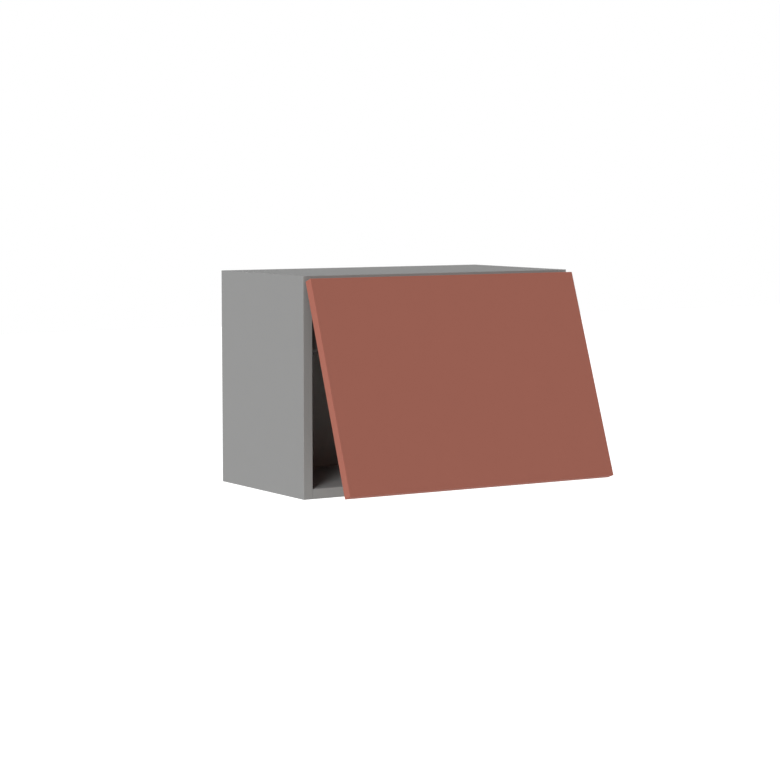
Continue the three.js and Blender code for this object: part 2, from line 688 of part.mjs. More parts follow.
function stayLink(sign) {
  const span = inward(sign, linkFloor, linkRoof);
  const body = join(
    disc(linkPin, STAY_LINK_EYE, span),
    bar(linkPin, bracketPinOpen, STAY_LINK_BAR, span),
    disc(bracketPinOpen, STAY_LINK_EYE, span),
  );
  return cut(
    body,
    disc(linkPin, STAY_PIN_RADIUS + PIN_PLAY, inward(sign, 0, linkRoof + OVERCUT)),
    disc(bracketPinOpen, STAY_PIN_RADIUS + BRACKET_PIN_PLAY, inward(sign, 0, linkRoof + OVERCUT)),
  );
}

// A headed pin through a stack of plates.
function headedPin(sign, centre, floor, roof) {
  const gap = SEAT_GAP;
  const ends = [floor - gap - STAY_PIN_HEAD_THICKNESS, roof + gap + STAY_PIN_HEAD_THICKNESS];
  return join(
    disc(centre, STAY_PIN_RADIUS, inward(sign, ...ends)),
    disc(centre, STAY_PIN_HEAD, inward(sign, ends[0], floor - gap)),
    disc(centre, STAY_PIN_HEAD, inward(sign, roof + gap, ends[1])),
  );
}

const lugInner = [linkFloor - STAY_LAYER_GAP - BRACKET_STEEL, linkFloor - STAY_LAYER_GAP];
const lugOuter = [linkRoof + STAY_LAYER_GAP, linkRoof + STAY_LAYER_GAP + BRACKET_STEEL];

function doorBracket(sign) {
  const face = DOOR_BACK + SEAT_GAP;
  const base = block(
    inward(sign, lugInner[0] - BRACKET_TAB, lugOuter[1] + BRACKET_TAB),
    [face, face + BRACKET_STEEL],
    [bracketPin.y - BRACKET_HALF_HEIGHT, bracketPin.y + BRACKET_HALF_HEIGHT],
  );
  const foot = at(face + BRACKET_STEEL / 2, bracketPin.y);
  const lugs = [lugInner, lugOuter].map(([from, to]) => cut(
    join(
      bar(foot, bracketPin, BRACKET_EYE, inward(sign, from, to)),
      disc(bracketPin, BRACKET_EYE, inward(sign, from, to)),
    ),
    disc(bracketPin, STAY_PIN_RADIUS + PIN_PLAY, inward(sign, from - OVERCUT, to + OVERCUT)),
  ));
  return join(base, ...lugs);
}

// The torsion spring: turns round the lever's hub, then a straight leg to the rear.
class SpringPath extends THREE.Curve {
  constructor(sign) {
    super();
    this.sign = sign;
    this.start = baseRoof + SPRING_END_ROOM + SPRING_WIRE_RADIUS;
    this.pitch = (cheekInner - SPRING_END_ROOM - SPRING_WIRE_RADIUS - this.start) / SPRING_TURNS;
    this.coil = SPRING_TURNS * 2 * Math.PI * SPRING_RADIUS;
  }

  getPoint(t, target = new THREE.Vector3()) {
    const run = t * (this.coil + SPRING_LEG);
    const angle = Math.min(run, this.coil) / SPRING_RADIUS;
    const rise = this.start + this.pitch * (angle / (2 * Math.PI));
    const leg = Math.max(run - this.coil, 0);
    return target.set(
      this.sign * (INNER_X - rise),
      leverPin.x + SPRING_RADIUS * Math.sin(angle) + leg,
      leverPin.y + SPRING_RADIUS * Math.cos(angle),
    );
  }
}

function staySpring(sign) {
  const wire = new THREE.Shape();
  wire.absarc(0, 0, SPRING_WIRE_RADIUS, 0, 2 * Math.PI, false);
  const legSteps = Math.ceil(SPRING_LEG / SPRING_RADIUS);
  return toSolid(new THREE.ExtrudeGeometry(wire, {
    steps: SPRING_TURNS * SPRING_LOOP_STEPS + legSteps,
    curveSegments: SPRING_WIRE_SIDES / 2,
    extrudePath: new SpringPath(sign),
  }));
}

// The least space between the spring's wire and its own next turns, from points along the wire.
function leastSpringGap() {
  const path = new SpringPath(1);
  const points = path.getPoints(SPRING_TURNS * SPRING_GAP_POINTS);
  const halfTurn = Math.floor(path.coil / (path.coil + SPRING_LEG) * SPRING_GAP_POINTS / 2);
  let least = Infinity;
  points.forEach((point, index) => points.slice(index + halfTurn).forEach((other) => {
    least = Math.min(least, point.distanceTo(other));
  }));
  return least - 2 * SPRING_WIRE_RADIUS;
}
console.log(`Least gap between the spring's turns: ${leastSpringGap().toFixed(2)} mm`);

SIDES.forEach(([side, sign]) => {
  addPiece(`stay_base_${side}`, stayBase(sign), steel);
  addPiece(`stay_cover_${side}`, stayCover(sign), greyPlastic);
  addPiece(`stay_pivot_pin_${side}`, stayPivot(sign), zinc);
  addPiece(`stay_spring_${side}`, staySpring(sign), springSteel);
  addPiece(`stay_lever_${side}`, stayLever(sign), steel);
  addPiece(`stay_link_pin_${side}`, headedPin(sign, linkPin, leverFloor, linkRoof), zinc);
  addPiece(`stay_link_${side}`, stayLink(sign), steel);
  addDoorPiece(`door_bracket_${side}`, doorBracket(sign), steel);
  addDoorPiece(`door_bracket_pin_${side}`, headedPin(sign, bracketPin, lugInner[0], lugOuter[1]), zinc);
});

export default cabinet;
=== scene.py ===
import json
import math

import bmesh
import bpy
from mathutils import Matrix, Vector


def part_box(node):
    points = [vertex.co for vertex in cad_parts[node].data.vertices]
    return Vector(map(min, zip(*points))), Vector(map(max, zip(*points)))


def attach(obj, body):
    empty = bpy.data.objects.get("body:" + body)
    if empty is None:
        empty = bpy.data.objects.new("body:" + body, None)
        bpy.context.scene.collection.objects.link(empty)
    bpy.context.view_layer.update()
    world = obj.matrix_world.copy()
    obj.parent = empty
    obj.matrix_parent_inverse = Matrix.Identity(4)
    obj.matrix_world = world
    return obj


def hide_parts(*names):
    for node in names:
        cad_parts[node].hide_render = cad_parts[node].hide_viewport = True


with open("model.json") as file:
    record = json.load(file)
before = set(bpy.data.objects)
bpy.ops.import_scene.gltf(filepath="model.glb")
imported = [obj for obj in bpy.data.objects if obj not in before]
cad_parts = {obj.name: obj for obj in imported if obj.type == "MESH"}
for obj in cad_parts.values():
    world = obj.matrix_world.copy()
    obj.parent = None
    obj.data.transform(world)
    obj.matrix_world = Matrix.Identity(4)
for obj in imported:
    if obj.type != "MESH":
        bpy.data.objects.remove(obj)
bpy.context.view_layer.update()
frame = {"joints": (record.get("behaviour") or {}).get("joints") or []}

# ---- Side panels ----
# Two upright boards of 19 mm melamine-faced chipboard, sawn to size, grooved for the back and
# drilled for bolts and dowels. The front edge is covered with a thin plastic band, and the rear
# edge, which stands against the wall, is left raw.
SIDES = (("left", -1), ("right", 1))
ARRIS = 0.0003  # the rounding of a sawn or trimmed edge
BAND = 0.0008
BAND_ROUNDING = 0.0006
SEAT_GAP = 0.0003  # the gap left round a piece that sits in another
GROOVE_DEPTH = 0.008
OVERCUT = 0.001  # how far a cutting shape runs past the surface that it cuts
SAME_PLACE = 1e-6  # points nearer than this count as one
SLIVER = 2e-6  # edges shorter than this are closed up in a finished piece
CREASE = math.radians(35)  # edges that turn more than this stay sharp in the shading
CHIPS_PER_METRE = 600
CHIP_RELIEF = 0.0004


def srgb(red, green, blue):
    """A colour as read off a swatch, 0 to 255, in the shader's linear values."""
    def linear(level):
        share = level / 255
        return share / 12.92 if share <= 0.04045 else ((share + 0.055) / 1.055) ** 2.4
    return (linear(red), linear(green), linear(blue), 1.0)


def shaded(colour, share):
    """The same colour, lighter or darker by a share."""
    return tuple(min(1.0, level * (1 + share)) for level in colour[:3]) + (1.0,)


def blank_finish(name):
    """A new material, with its nodes, its links and its shader."""
    material = bpy.data.materials.new(name)
    material.use_nodes = True
    tree = material.node_tree
    return material, tree.nodes, tree.links, tree.nodes["Principled BSDF"]


def surface(
    name, colour, mottle, patch, grain, relief, roughness, metallic=0.0, stretch=(1, 1, 1), gloss=0.5
):
    """A finish with soft patches, lighter and darker by the mottle, and a fine grain felt as
    relief. Its roughness runs from one value to the other with the patches."""
    material, nodes, links, shader = blank_finish(name)
    shader.inputs["Metallic"].default_value = metallic
    shader.inputs["Specular IOR Level"].default_value = gloss

    place = nodes.new("ShaderNodeTexCoord")
    lay = nodes.new("ShaderNodeMapping")
    lay.inputs["Scale"].default_value = stretch
    links.new(place.outputs["Object"], lay.inputs["Vector"])

    patches = nodes.new("ShaderNodeTexNoise")
    patches.inputs["Scale"].default_value = 1 / patch
    patches.inputs["Detail"].default_value = 6
    links.new(lay.outputs["Vector"], patches.inputs["Vector"])
    tones = nodes.new("ShaderNodeValToRGB")
    tones.color_ramp.elements[0].position = 0.3
    tones.color_ramp.elements[0].color = shaded(colour, -mottle)
    tones.color_ramp.elements[1].position = 0.7
    tones.color_ramp.elements[1].color = shaded(colour, mottle)
    links.new(patches.outputs["Fac"], tones.inputs["Fac"])
    links.new(tones.outputs["Color"], shader.inputs["Base Color"])

    sheen = nodes.new("ShaderNodeMapRange")
    sheen.inputs["To Min"].default_value = roughness[0]
    sheen.inputs["To Max"].default_value = roughness[1]
    links.new(patches.outputs["Fac"], sheen.inputs["Value"])
    links.new(sheen.outputs["Result"], shader.inputs["Roughness"])

    pores = nodes.new("ShaderNodeTexNoise")
    pores.inputs["Scale"].default_value = 1 / grain
    pores.inputs["Detail"].default_value = 3
    links.new(lay.outputs["Vector"], pores.inputs["Vector"])
    skin = nodes.new("ShaderNodeBump")
    skin.inputs["Strength"].default_value = relief
    skin.inputs["Distance"].default_value = grain
    links.new(pores.outputs["Fac"], skin.inputs["Height"])
    links.new(skin.outputs["Normal"], shader.inputs["Normal"])
    return material


def pressed_chips():
    """The sawn core of chipboard: pale and brown chips, one or two millimetres across."""
    material, nodes, links, shader = blank_finish("chipboard_core")
    shader.inputs["Roughness"].default_value = 0.9
    place = nodes.new("ShaderNodeTexCoord")
    chips = nodes.new("ShaderNodeTexVoronoi")
    chips.inputs["Scale"].default_value = CHIPS_PER_METRE
    links.new(place.outputs["Object"], chips.inputs["Vector"])
    tones = nodes.new("ShaderNodeValToRGB")
    tones.color_ramp.elements[0].color = srgb(138, 104, 70)
    tones.color_ramp.elements[1].color = srgb(214, 184, 142)
    middle = tones.color_ramp.elements.new(0.5)
    middle.color = srgb(190, 156, 112)
    links.new(chips.outputs["Color"], tones.inputs["Fac"])
    links.new(tones.outputs["Color"], shader.inputs["Base Color"])
    edges = nodes.new("ShaderNodeBump")
    edges.inputs["Strength"].default_value = 0.4
    edges.inputs["Distance"].default_value = CHIP_RELIEF
    links.new(chips.outputs["Distance"], edges.inputs["Height"])
    links.new(edges.outputs["Normal"], shader.inputs["Normal"])
    return material


melamine = surface(
    "grey_melamine", srgb(150, 150, 149.5), mottle=0.006, patch=0.04, grain=0.0005, relief=0.06,
    roughness=(0.7, 0.8), gloss=0.12,
)
band_plastic = surface(
    "grey_edge_band", srgb(154, 154, 152), mottle=0.01, patch=0.02, grain=0.0003, relief=0.04,
    roughness=(0.62, 0.7), gloss=0.12,
)
chipboard = pressed_chips()


def block_shape(low, high, rounding=0.0, facing=None):
    """A block between two corners. Its edges are rounded, or only those round the face that
    looks along facing."""
    low, high = Vector(low), Vector(high)
    shape = bmesh.new()
    bmesh.ops.create_cube(shape, size=1.0)
    shape.transform(Matrix.Translation((low + high) / 2) @ Matrix.Diagonal((*(high - low), 1.0)))
    edges = shape.edges[:]
    if facing:
        reach = max(vert.co.dot(facing) for vert in shape.verts)
        edges = [e for e in edges if all(v.co.dot(facing) > reach - SAME_PLACE for v in e.verts)]
    if rounding:
        bmesh.ops.bevel(
            shape, geom=edges, offset=rounding, segments=3, profile=0.5, affect="EDGES"
        )
    return shape


def placed(point, along):
    """Stands a shape that was made upright at the origin on a point, pointing along a direction."""
    turn = Vector((0, 0, 1)).rotation_difference(Vector(along))
    return Matrix.Translation(point) @ turn.to_matrix().to_4x4()


def wrap_rings(shape, rings):
    """Faces from each ring of points to the next. A ring may be one point on the axis."""
    sides = max(len(ring) for ring in rings)
    for lower, upper in zip(rings, rings[1:]):
        for step in range(sides):
            after = (step + 1) % sides
            corners = [
                lower[step % len(lower)], lower[after % len(lower)],
                upper[after % len(upper)], upper[step % len(upper)],
            ]
            shape.faces.new(list(dict.fromkeys(corners)))


def turned_shape(outline, point, along, sides=48):
    """A turned part from (radius, height) points that start and end on its axis."""
    shape = bmesh.new()
    angles = [2 * math.pi * step / sides for step in range(sides)]
    rings = []
    for radius, height in outline:
        if radius:
            ring = [(radius * math.cos(a), radius * math.sin(a), height) for a in angles]
        else:
            ring = [(0, 0, height)]
        rings.append([shape.verts.new(spot) for spot in ring])
    wrap_rings(shape, rings)
    bmesh.ops.recalc_face_normals(shape, faces=shape.faces)
    shape.transform(placed(point, along))
    return shape


def rod_shape(radius, start, end, sides=48):
    """A plain round bar from one point to another, for drilling."""
    run = Vector(end) - Vector(start)
    outline = [(0, 0), (radius, 0), (radius, run.length), (0, run.length)]
    return turned_shape(outline, start, run, sides)


def new_object(name, data):
    """An object of the scene with its mesh, curve, lamp or camera."""
    item = bpy.data.objects.new(name, data)
    bpy.context.scene.collection.objects.link(item)
    return item


def combined(shape, tools, operation):
    """Joins tools to a shape or cuts them out of it, and gives the result as a new shape."""
    loose = []
    for part in (shape, *tools):
        mesh = bpy.data.meshes.new("loose")
        part.to_mesh(mesh)
        part.free()
        loose.append(new_object("loose", mesh))
    body, *cutters = loose
    for cutter in cutters:
        step = body.modifiers.new("step", "BOOLEAN")
        step.operation = operation
        step.solver = "EXACT"
        step.object = cutter
    result = bmesh.new()
    result.from_object(body, bpy.context.evaluated_depsgraph_get())
    for item in loose:
        mesh = item.data
        bpy.data.objects.remove(item)
        bpy.data.meshes.remove(mesh)
    return result


def carved(shape, *tools):
    """A shape with tools cut out of it."""
    return combined(shape, tools, "DIFFERENCE")


def make_piece(name, shape, finishes, body, stands_for=()):
    """Turns a shape into a clean, closed piece of the cabinet that moves with a body."""
    mesh = bpy.data.meshes.new(name)
    bmesh.ops.remove_doubles(shape, verts=shape.verts, dist=SLIVER)
    bmesh.ops.dissolve_degenerate(shape, edges=shape.edges, dist=SLIVER)
    bmesh.ops.recalc_face_normals(shape, faces=shape.faces)
    if shape.calc_volume(signed=True) < 0:
        bmesh.ops.reverse_faces(shape, faces=shape.faces)
    shape.to_mesh(mesh)
    shape.free()
    for finish in finishes:
        mesh.materials.append(finish)
    mesh.shade_smooth()
    mesh.set_sharp_from_angle(angle=CREASE)
    piece = new_object(name, mesh)
    evened = piece.modifiers.new("broad_faces_flat", "WEIGHTED_NORMAL")
    evened.keep_sharp = True
    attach(piece, body)
    if stands_for:
        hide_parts(*stands_for)


def bare_core(shape, low, high):
    """Gives the chipboard finish to the rear edge and to every cut inside a board."""
    skin = 2 * ARRIS
    for face in shape.faces:
        middle = face.calc_center_median()
        inside = all(low[i] + skin < middle[i] < high[i] - skin for i in range(3))
        if inside or middle.y > high.y - ARRIS / 2:
            face.material_index = 1
    return shape


def front_band(name, low, high):
    """The band glued to a board's front edge, its outer arrises scraped round."""
    strip = block_shape(low, (high.x, low.y + BAND, high.z), BAND_ROUNDING, Vector((0, -1, 0)))
    make_piece(name, strip, [band_plastic], "root")


def middle_of(node):
    """The middle of the space that a solid of the frame takes up."""
    low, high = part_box(node)
    return (low + high) / 2


BOLT_BORE = 0.0038
BOLT_BORE_DEPTH = 0.0113
DOWEL_BORE = 0.0043
DOWEL_BORE_DEPTH = 0.0103
BORE_SIDES = 24
INNER_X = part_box("side_panel_right")[0].x
bolt_y = middle_of("cam_lower_left").y
dowel_y = middle_of("dowel_lower_left").y
back_low, back_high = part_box("back_panel")
groove_y = (back_low.y - SEAT_GAP, back_high.y + SEAT_GAP)

for side, sign in SIDES:
    low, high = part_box(f"side_panel_{side}")
    inner = sign * INNER_X
    groove_x = sorted((inner - sign * OVERCUT, inner + sign * GROOVE_DEPTH))
    tools = [block_shape(
        (groove_x[0], groove_y[0], back_low.z - SEAT_GAP),
        (groove_x[1], groove_y[1], back_high.z + SEAT_GAP),
    )]
    for z in (middle_of("bottom_panel").z, middle_of("top_panel").z):
        for radius, depth, y in (
            (BOLT_BORE, BOLT_BORE_DEPTH, bolt_y),
            (DOWEL_BORE, DOWEL_BORE_DEPTH, dowel_y),
        ):
            tools.append(rod_shape(
                radius, (inner - sign * OVERCUT, y, z), (inner + sign * depth, y, z), BORE_SIDES
            ))
    board = carved(block_shape((low.x, low.y + BAND, low.z), high, ARRIS), *tools)
    make_piece(
        f"side_board_{side}", bare_core(board, low, high), [melamine, chipboard], "root",
        [f"side_panel_{side}"],
    )
    front_band(f"side_front_band_{side}", low, high)

# ---- Top and bottom panels ----
# The same 19 mm board lying between the sides, with the groove for the back along its inner face.
# Each end is drilled for a bolt and a dowel, and a wide bore in the inner face takes the cam.
CAM_BORE = 0.0076
CAM_BORE_DEPTH = 0.013
CAM_SETBACK = 0.024
BOLT_RUN = 0.0213
DOWEL_RUN = 0.0203
cam_x = INNER_X - CAM_SETBACK

for name, into in (("top", 1), ("bottom", -1)):
    low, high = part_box(f"{name}_panel")
    inner_z = low.z if into > 0 else high.z
    middle = (low.z + high.z) / 2
    groove_z = sorted((inner_z - into * OVERCUT, inner_z + into * GROOVE_DEPTH))
    tools = [block_shape(
        (low.x - OVERCUT, groove_y[0], groove_z[0]), (high.x + OVERCUT, groove_y[1], groove_z[1])
    )]
    for _, sign in SIDES:
        end = sign * (INNER_X + OVERCUT)
        for radius, run, y in ((BOLT_BORE, BOLT_RUN, bolt_y), (DOWEL_BORE, DOWEL_RUN, dowel_y)):
            tools.append(rod_shape(
                radius, (end, y, middle), (sign * (INNER_X - run), y, middle), BORE_SIDES
            ))
        tools.append(rod_shape(
            CAM_BORE,
            (sign * cam_x, bolt_y, inner_z - into * OVERCUT),
            (sign * cam_x, bolt_y, inner_z + into * CAM_BORE_DEPTH),
        ))
    board = carved(block_shape((low.x, low.y + BAND, low.z), high, ARRIS), *tools)
    make_piece(
        f"{name}_board", bare_core(board, low, high), [melamine, chipboard], "root",
        [f"{name}_panel"],
    )
    front_band(f"{name}_front_band", low, high)

# ---- Back panel ----
# An 8 mm coated board slid into the grooves before the last panel goes on. Its upper corners
# are notched so that the hanger hooks can reach through to the wall rail.
NOTCH_WIDTH = 0.014
NOTCH_DROP = 0.044
COATED_EDGE = 0.0002
coated_board = surface(
    "grey_coated_back", srgb(156, 160, 157), mottle=0.02, patch=0.05, grain=0.0007, relief=0.1,
    roughness=(0.7, 0.8), gloss=0.1,
)

notches = []
for _, sign in SIDES:
    reach = sorted((sign * (INNER_X + GROOVE_DEPTH + OVERCUT), sign * (INNER_X - NOTCH_WIDTH)))
    notches.append(block_shape(
        (reach[0], back_low.y - OVERCUT, back_high.z - GROOVE_DEPTH - NOTCH_DROP + SEAT_GAP),
        (reach[1], back_high.y + OVERCUT, back_high.z + OVERCUT),
    ))
back = carved(block_shape(back_low, back_high, COATED_EDGE), *notches)
make_piece("back_board", back, [coated_board], "root", ["back_panel"])

# ---- Panel connectors ----
# Zinc cams, turned with a screwdriver, draw the heads of steel bolts that are screwed into the
# side panels. Glued beech dowels at the rear keep each joint from turning.
CAM_ROUNDING = 0.0005
CAM_RECESS = (0.0088, 0.002, 0.002)  # each slot's length, width and depth
BOLT_SHANK = 0.0026
BOLT_THREAD = 0.0029
BOLT_PITCH = 0.0016
BOLT_COLLAR = 0.0015
BOLT_HEAD = 0.004
BOLT_HEAD_CONE = 0.001
BOLT_ROUNDING = 0.0005
THREAD_TIP = 0.6  # how wide the blunt tip is, as a share of the root
DOWEL_FLUTES = 14
DOWEL_FLUTE_DEPTH = 0.0004
DOWEL_FLUTE_STEPS = 4
DOWEL_CHAMFER = 0.0012
zinc = surface(
    "die_cast_zinc", srgb(178, 181, 184), mottle=0.05, patch=0.006, grain=0.0004, relief=0.12,
    roughness=(0.32, 0.46), metallic=1.0,
)
bright_steel = surface(
    "nickel_plated_steel", srgb(200, 200, 202), mottle=0.04, patch=0.01, grain=0.0006, relief=0.05,
    roughness=(0.2, 0.34), metallic=1.0, stretch=(1, 1, 5),
)
beech = surface(
    "beech_dowel", srgb(206, 172, 122), mottle=0.1, patch=0.002, grain=0.0004, relief=0.25,
    roughness=(0.6, 0.75), stretch=(0.15, 1, 1),
)


def cross_tools(point, along, length, width, depth):
    """The two slots of a crossed recess, sunk into a head whose top is at the point."""
    tools = []
    for half_x, half_y in ((length / 2, width / 2), (width / 2, length / 2)):
        slot = block_shape((-half_x, -half_y, -depth), (half_x, half_y, depth))
        slot.transform(placed(point, along))
        tools.append(slot)
    return tools


def thread_outline(length, crest, root, pitch):
    """Half outline of a threaded shank, from the tip up, as (radius, height) points."""
    points = [(0, 0), (root * THREAD_TIP, 0)]
    for turn in range(int(length / pitch)):
        for radius, share in ((root, 0.25), (crest, 0.5), (root, 0.75)):
            points.append((radius, (turn + share) * pitch))
    return points


def fluted_shape(radius, start, end):
    """A dowel: a fluted round bar with both ends chamfered."""
    start, end = Vector(start), Vector(end)
    length = (end - start).length
    shape = bmesh.new()
    sides = DOWEL_FLUTE_STEPS * DOWEL_FLUTES
    rings = []
    for height, inset in (
        (0, DOWEL_CHAMFER), (DOWEL_CHAMFER, 0), (length - DOWEL_CHAMFER, 0), (length, DOWEL_CHAMFER),
    ):
        ring = []
        for step in range(sides):
            angle = 2 * math.pi * step / sides
            reach = radius - inset - (0 if step % DOWEL_FLUTE_STEPS else DOWEL_FLUTE_DEPTH)
            ring.append(shape.verts.new((reach * math.cos(angle), reach * math.sin(angle), height)))
        rings.append(ring)
    wrap_rings(shape, rings)
    shape.faces.new(rings[0])
    shape.faces.new(rings[-1])
    shape.transform(placed(start, end - start))
    return shape


for level in ("lower", "upper"):
    for side, sign in SIDES:
        low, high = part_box(f"cam_{level}_{side}")
        opening = 1 if level == "lower" else -1
        face_z, floor_z = (high.z, low.z) if opening > 0 else (low.z, high.z)
        radius, depth = (high.x - low.x) / 2, high.z - low.z
        x = (low.x + high.x) / 2
        bolt_low, bolt_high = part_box(f"cam_bolt_{level}_{side}")
        axis_z = (bolt_low.z + bolt_high.z) / 2
        drum = turned_shape(
            [(0, 0), (radius, 0), (radius, depth - CAM_ROUNDING), (radius - CAM_ROUNDING, depth),
             (0, depth)],
            (x, bolt_y, floor_z), (0, 0, opening),
        )
        bolt_way = rod_shape(
            BOLT_BORE,
            (sign * INNER_X, bolt_y, axis_z),
            (sign * (INNER_X - BOLT_RUN), bolt_y, axis_z),
            BORE_SIDES,
        )
        recess = cross_tools((x, bolt_y, face_z), (0, 0, opening), *CAM_RECESS)
        make_piece(
            f"connector_cam_{level}_{side}", carved(drum, bolt_way, *recess), [zinc], "root",
            [f"cam_{level}_{side}"],
        )

        reach = (bolt_high.y - bolt_low.y) / 2
        length = bolt_high.x - bolt_low.x
        threaded = thread_outline(BOLT_BORE_DEPTH - SEAT_GAP, BOLT_THREAD, BOLT_SHANK, BOLT_PITCH)
        collar = BOLT_BORE_DEPTH + BOLT_COLLAR
        head = length - BOLT_HEAD
        bolt = turned_shape(
            [*threaded, (BOLT_SHANK, BOLT_BORE_DEPTH), (reach, BOLT_BORE_DEPTH), (reach, collar),
             (BOLT_SHANK, collar + BOLT_ROUNDING), (BOLT_SHANK, head - BOLT_HEAD_CONE), (reach, head),
             (reach, length - BOLT_ROUNDING), (reach - BOLT_ROUNDING, length), (0, length)],
            (bolt_low.x if sign < 0 else bolt_high.x, bolt_y, axis_z), (-sign, 0, 0), sides=32,
        )
        make_piece(
            f"connector_bolt_{level}_{side}", bolt, [bright_steel], "root",
            [f"cam_bolt_{level}_{side}"],
        )

        low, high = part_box(f"dowel_{level}_{side}")
        peg = fluted_shape((high.z - low.z) / 2, (low.x, dowel_y, axis_z), (high.x, dowel_y, axis_z))
        make_piece(
            f"beech_dowel_{level}_{side}", peg, [beech], "root", [f"dowel_{level}_{side}"]
        )

# ---- Wall hangers ----
# A folded steel box screwed into each upper rear corner holds a steel hook, which hangs on the
# wall rail and is raised by a crosshead screw. A pale moulded cap covers the box from inside.
HANGER_STEEL = 0.002
HANGER_FOLD = 0.0008
HANGER_SCREW = 0.003
HANGER_SCREW_ROOT = 0.0025
HANGER_SCREW_PITCH = 0.0012
HANGER_SCREW_HEAD = 0.0025
HANGER_SCREW_ROUNDING = 0.0008
HANGER_SCREW_RECESS = (0.006, 0.0012, 0.0015)  # as CAM_RECESS
COVER_ROUNDING = 0.0012
SCREW_PLAY = 0.0003
HOOK_LIP = 0.003
HOOK_EDGE = 0.0004
HOOK_CORNERS = (0.001, 0.0006, 0.001, 0.001, 0.002, 0.001)  # from the front foot, round by the lip
pale_plastic = surface(
    "pale_grey_plastic", srgb(205, 205, 200), mottle=0.015, patch=0.02, grain=0.0004, relief=0.08,
    roughness=(0.4, 0.5),
)


def arc(centre, radius, start, end, steps):
    """Points on an arc about a centre, from one angle to another."""
    angles = [start + (end - start) * step / steps for step in range(steps + 1)]
    return [Vector(centre) + radius * Vector((math.cos(a), math.sin(a))) for a in angles]


def filleted(corners, radius, steps=5):
    """A closed outline with every corner rounded, each by the radius or by its own."""
    radii = radius if isinstance(radius, (list, tuple)) else [radius] * len(corners)
    outline = []
    corners = [Vector(corner) for corner in corners]
    for index, (corner, bend) in enumerate(zip(corners, radii)):
        before = (corners[index - 1] - corner).normalized()
        after = (corners[(index + 1) % len(corners)] - corner).normalized()
        half = before.angle(after) / 2
        centre = corner + (before + after).normalized() * (bend / math.sin(half))
        start = corner + before * (bend / math.tan(half)) - centre
        sweep = math.pi - 2 * half
        way = 1 if start.cross(corner - centre) > 0 else -1
        first = math.atan2(start.y, start.x)
        outline += arc(centre, bend, first, first + way * sweep, steps)
    return outline


# How an outline drawn flat is turned to face along an axis of the cabinet.
FACINGS = {
    "x": Matrix(((0, 0, 1, 0), (1, 0, 0, 0), (0, 1, 0, 0), (0, 0, 0, 1))),
    "y": Matrix(((1, 0, 0, 0), (0, 0, 1, 0), (0, 1, 0, 0), (0, 0, 0, 1))),
    "z": Matrix.Identity(4),
}


def shape_of(curve):
    """The solid of a curve that has a thickness, as a shape. The curve itself is used up."""
    holder = new_object(curve.name, curve)
    shape = bmesh.new()
    shape.from_mesh(holder.evaluated_get(bpy.context.evaluated_depsgraph_get()).to_mesh())
    bpy.data.objects.remove(holder)
    bpy.data.curves.remove(curve)
    return shape


def pressed_shape(outline, holes, span, facing="x", edge=0.0003):
    """A plate pressed to an outline with its holes, edges slightly rounded, between two faces."""
    curve = bpy.data.curves.new("pressing", "CURVE")
    curve.dimensions = "2D"
    curve.fill_mode = "BOTH"
    curve.extrude = abs(span[1] - span[0]) / 2 - edge
    curve.bevel_depth = edge
    curve.bevel_resolution = 2
    curve.offset = -edge
    for loop in (outline, *holes):
        spline = curve.splines.new("POLY")
        spline.points.add(len(loop) - 1)
        for point, spot in zip(spline.points, loop):
            point.co = (spot[0], spot[1], 0, 1)
        spline.use_cyclic_u = True
    shape = shape_of(curve)
    bmesh.ops.remove_doubles(shape, verts=shape.verts, dist=SAME_PLACE)
    shape.transform(FACINGS[facing])
    middle = Vector((0, 0, 0))
    middle["xyz".index(facing)] = (span[0] + span[1]) / 2
    shape.transform(Matrix.Translation(middle))
    bmesh.ops.recalc_face_normals(shape, faces=shape.faces)
    return shape


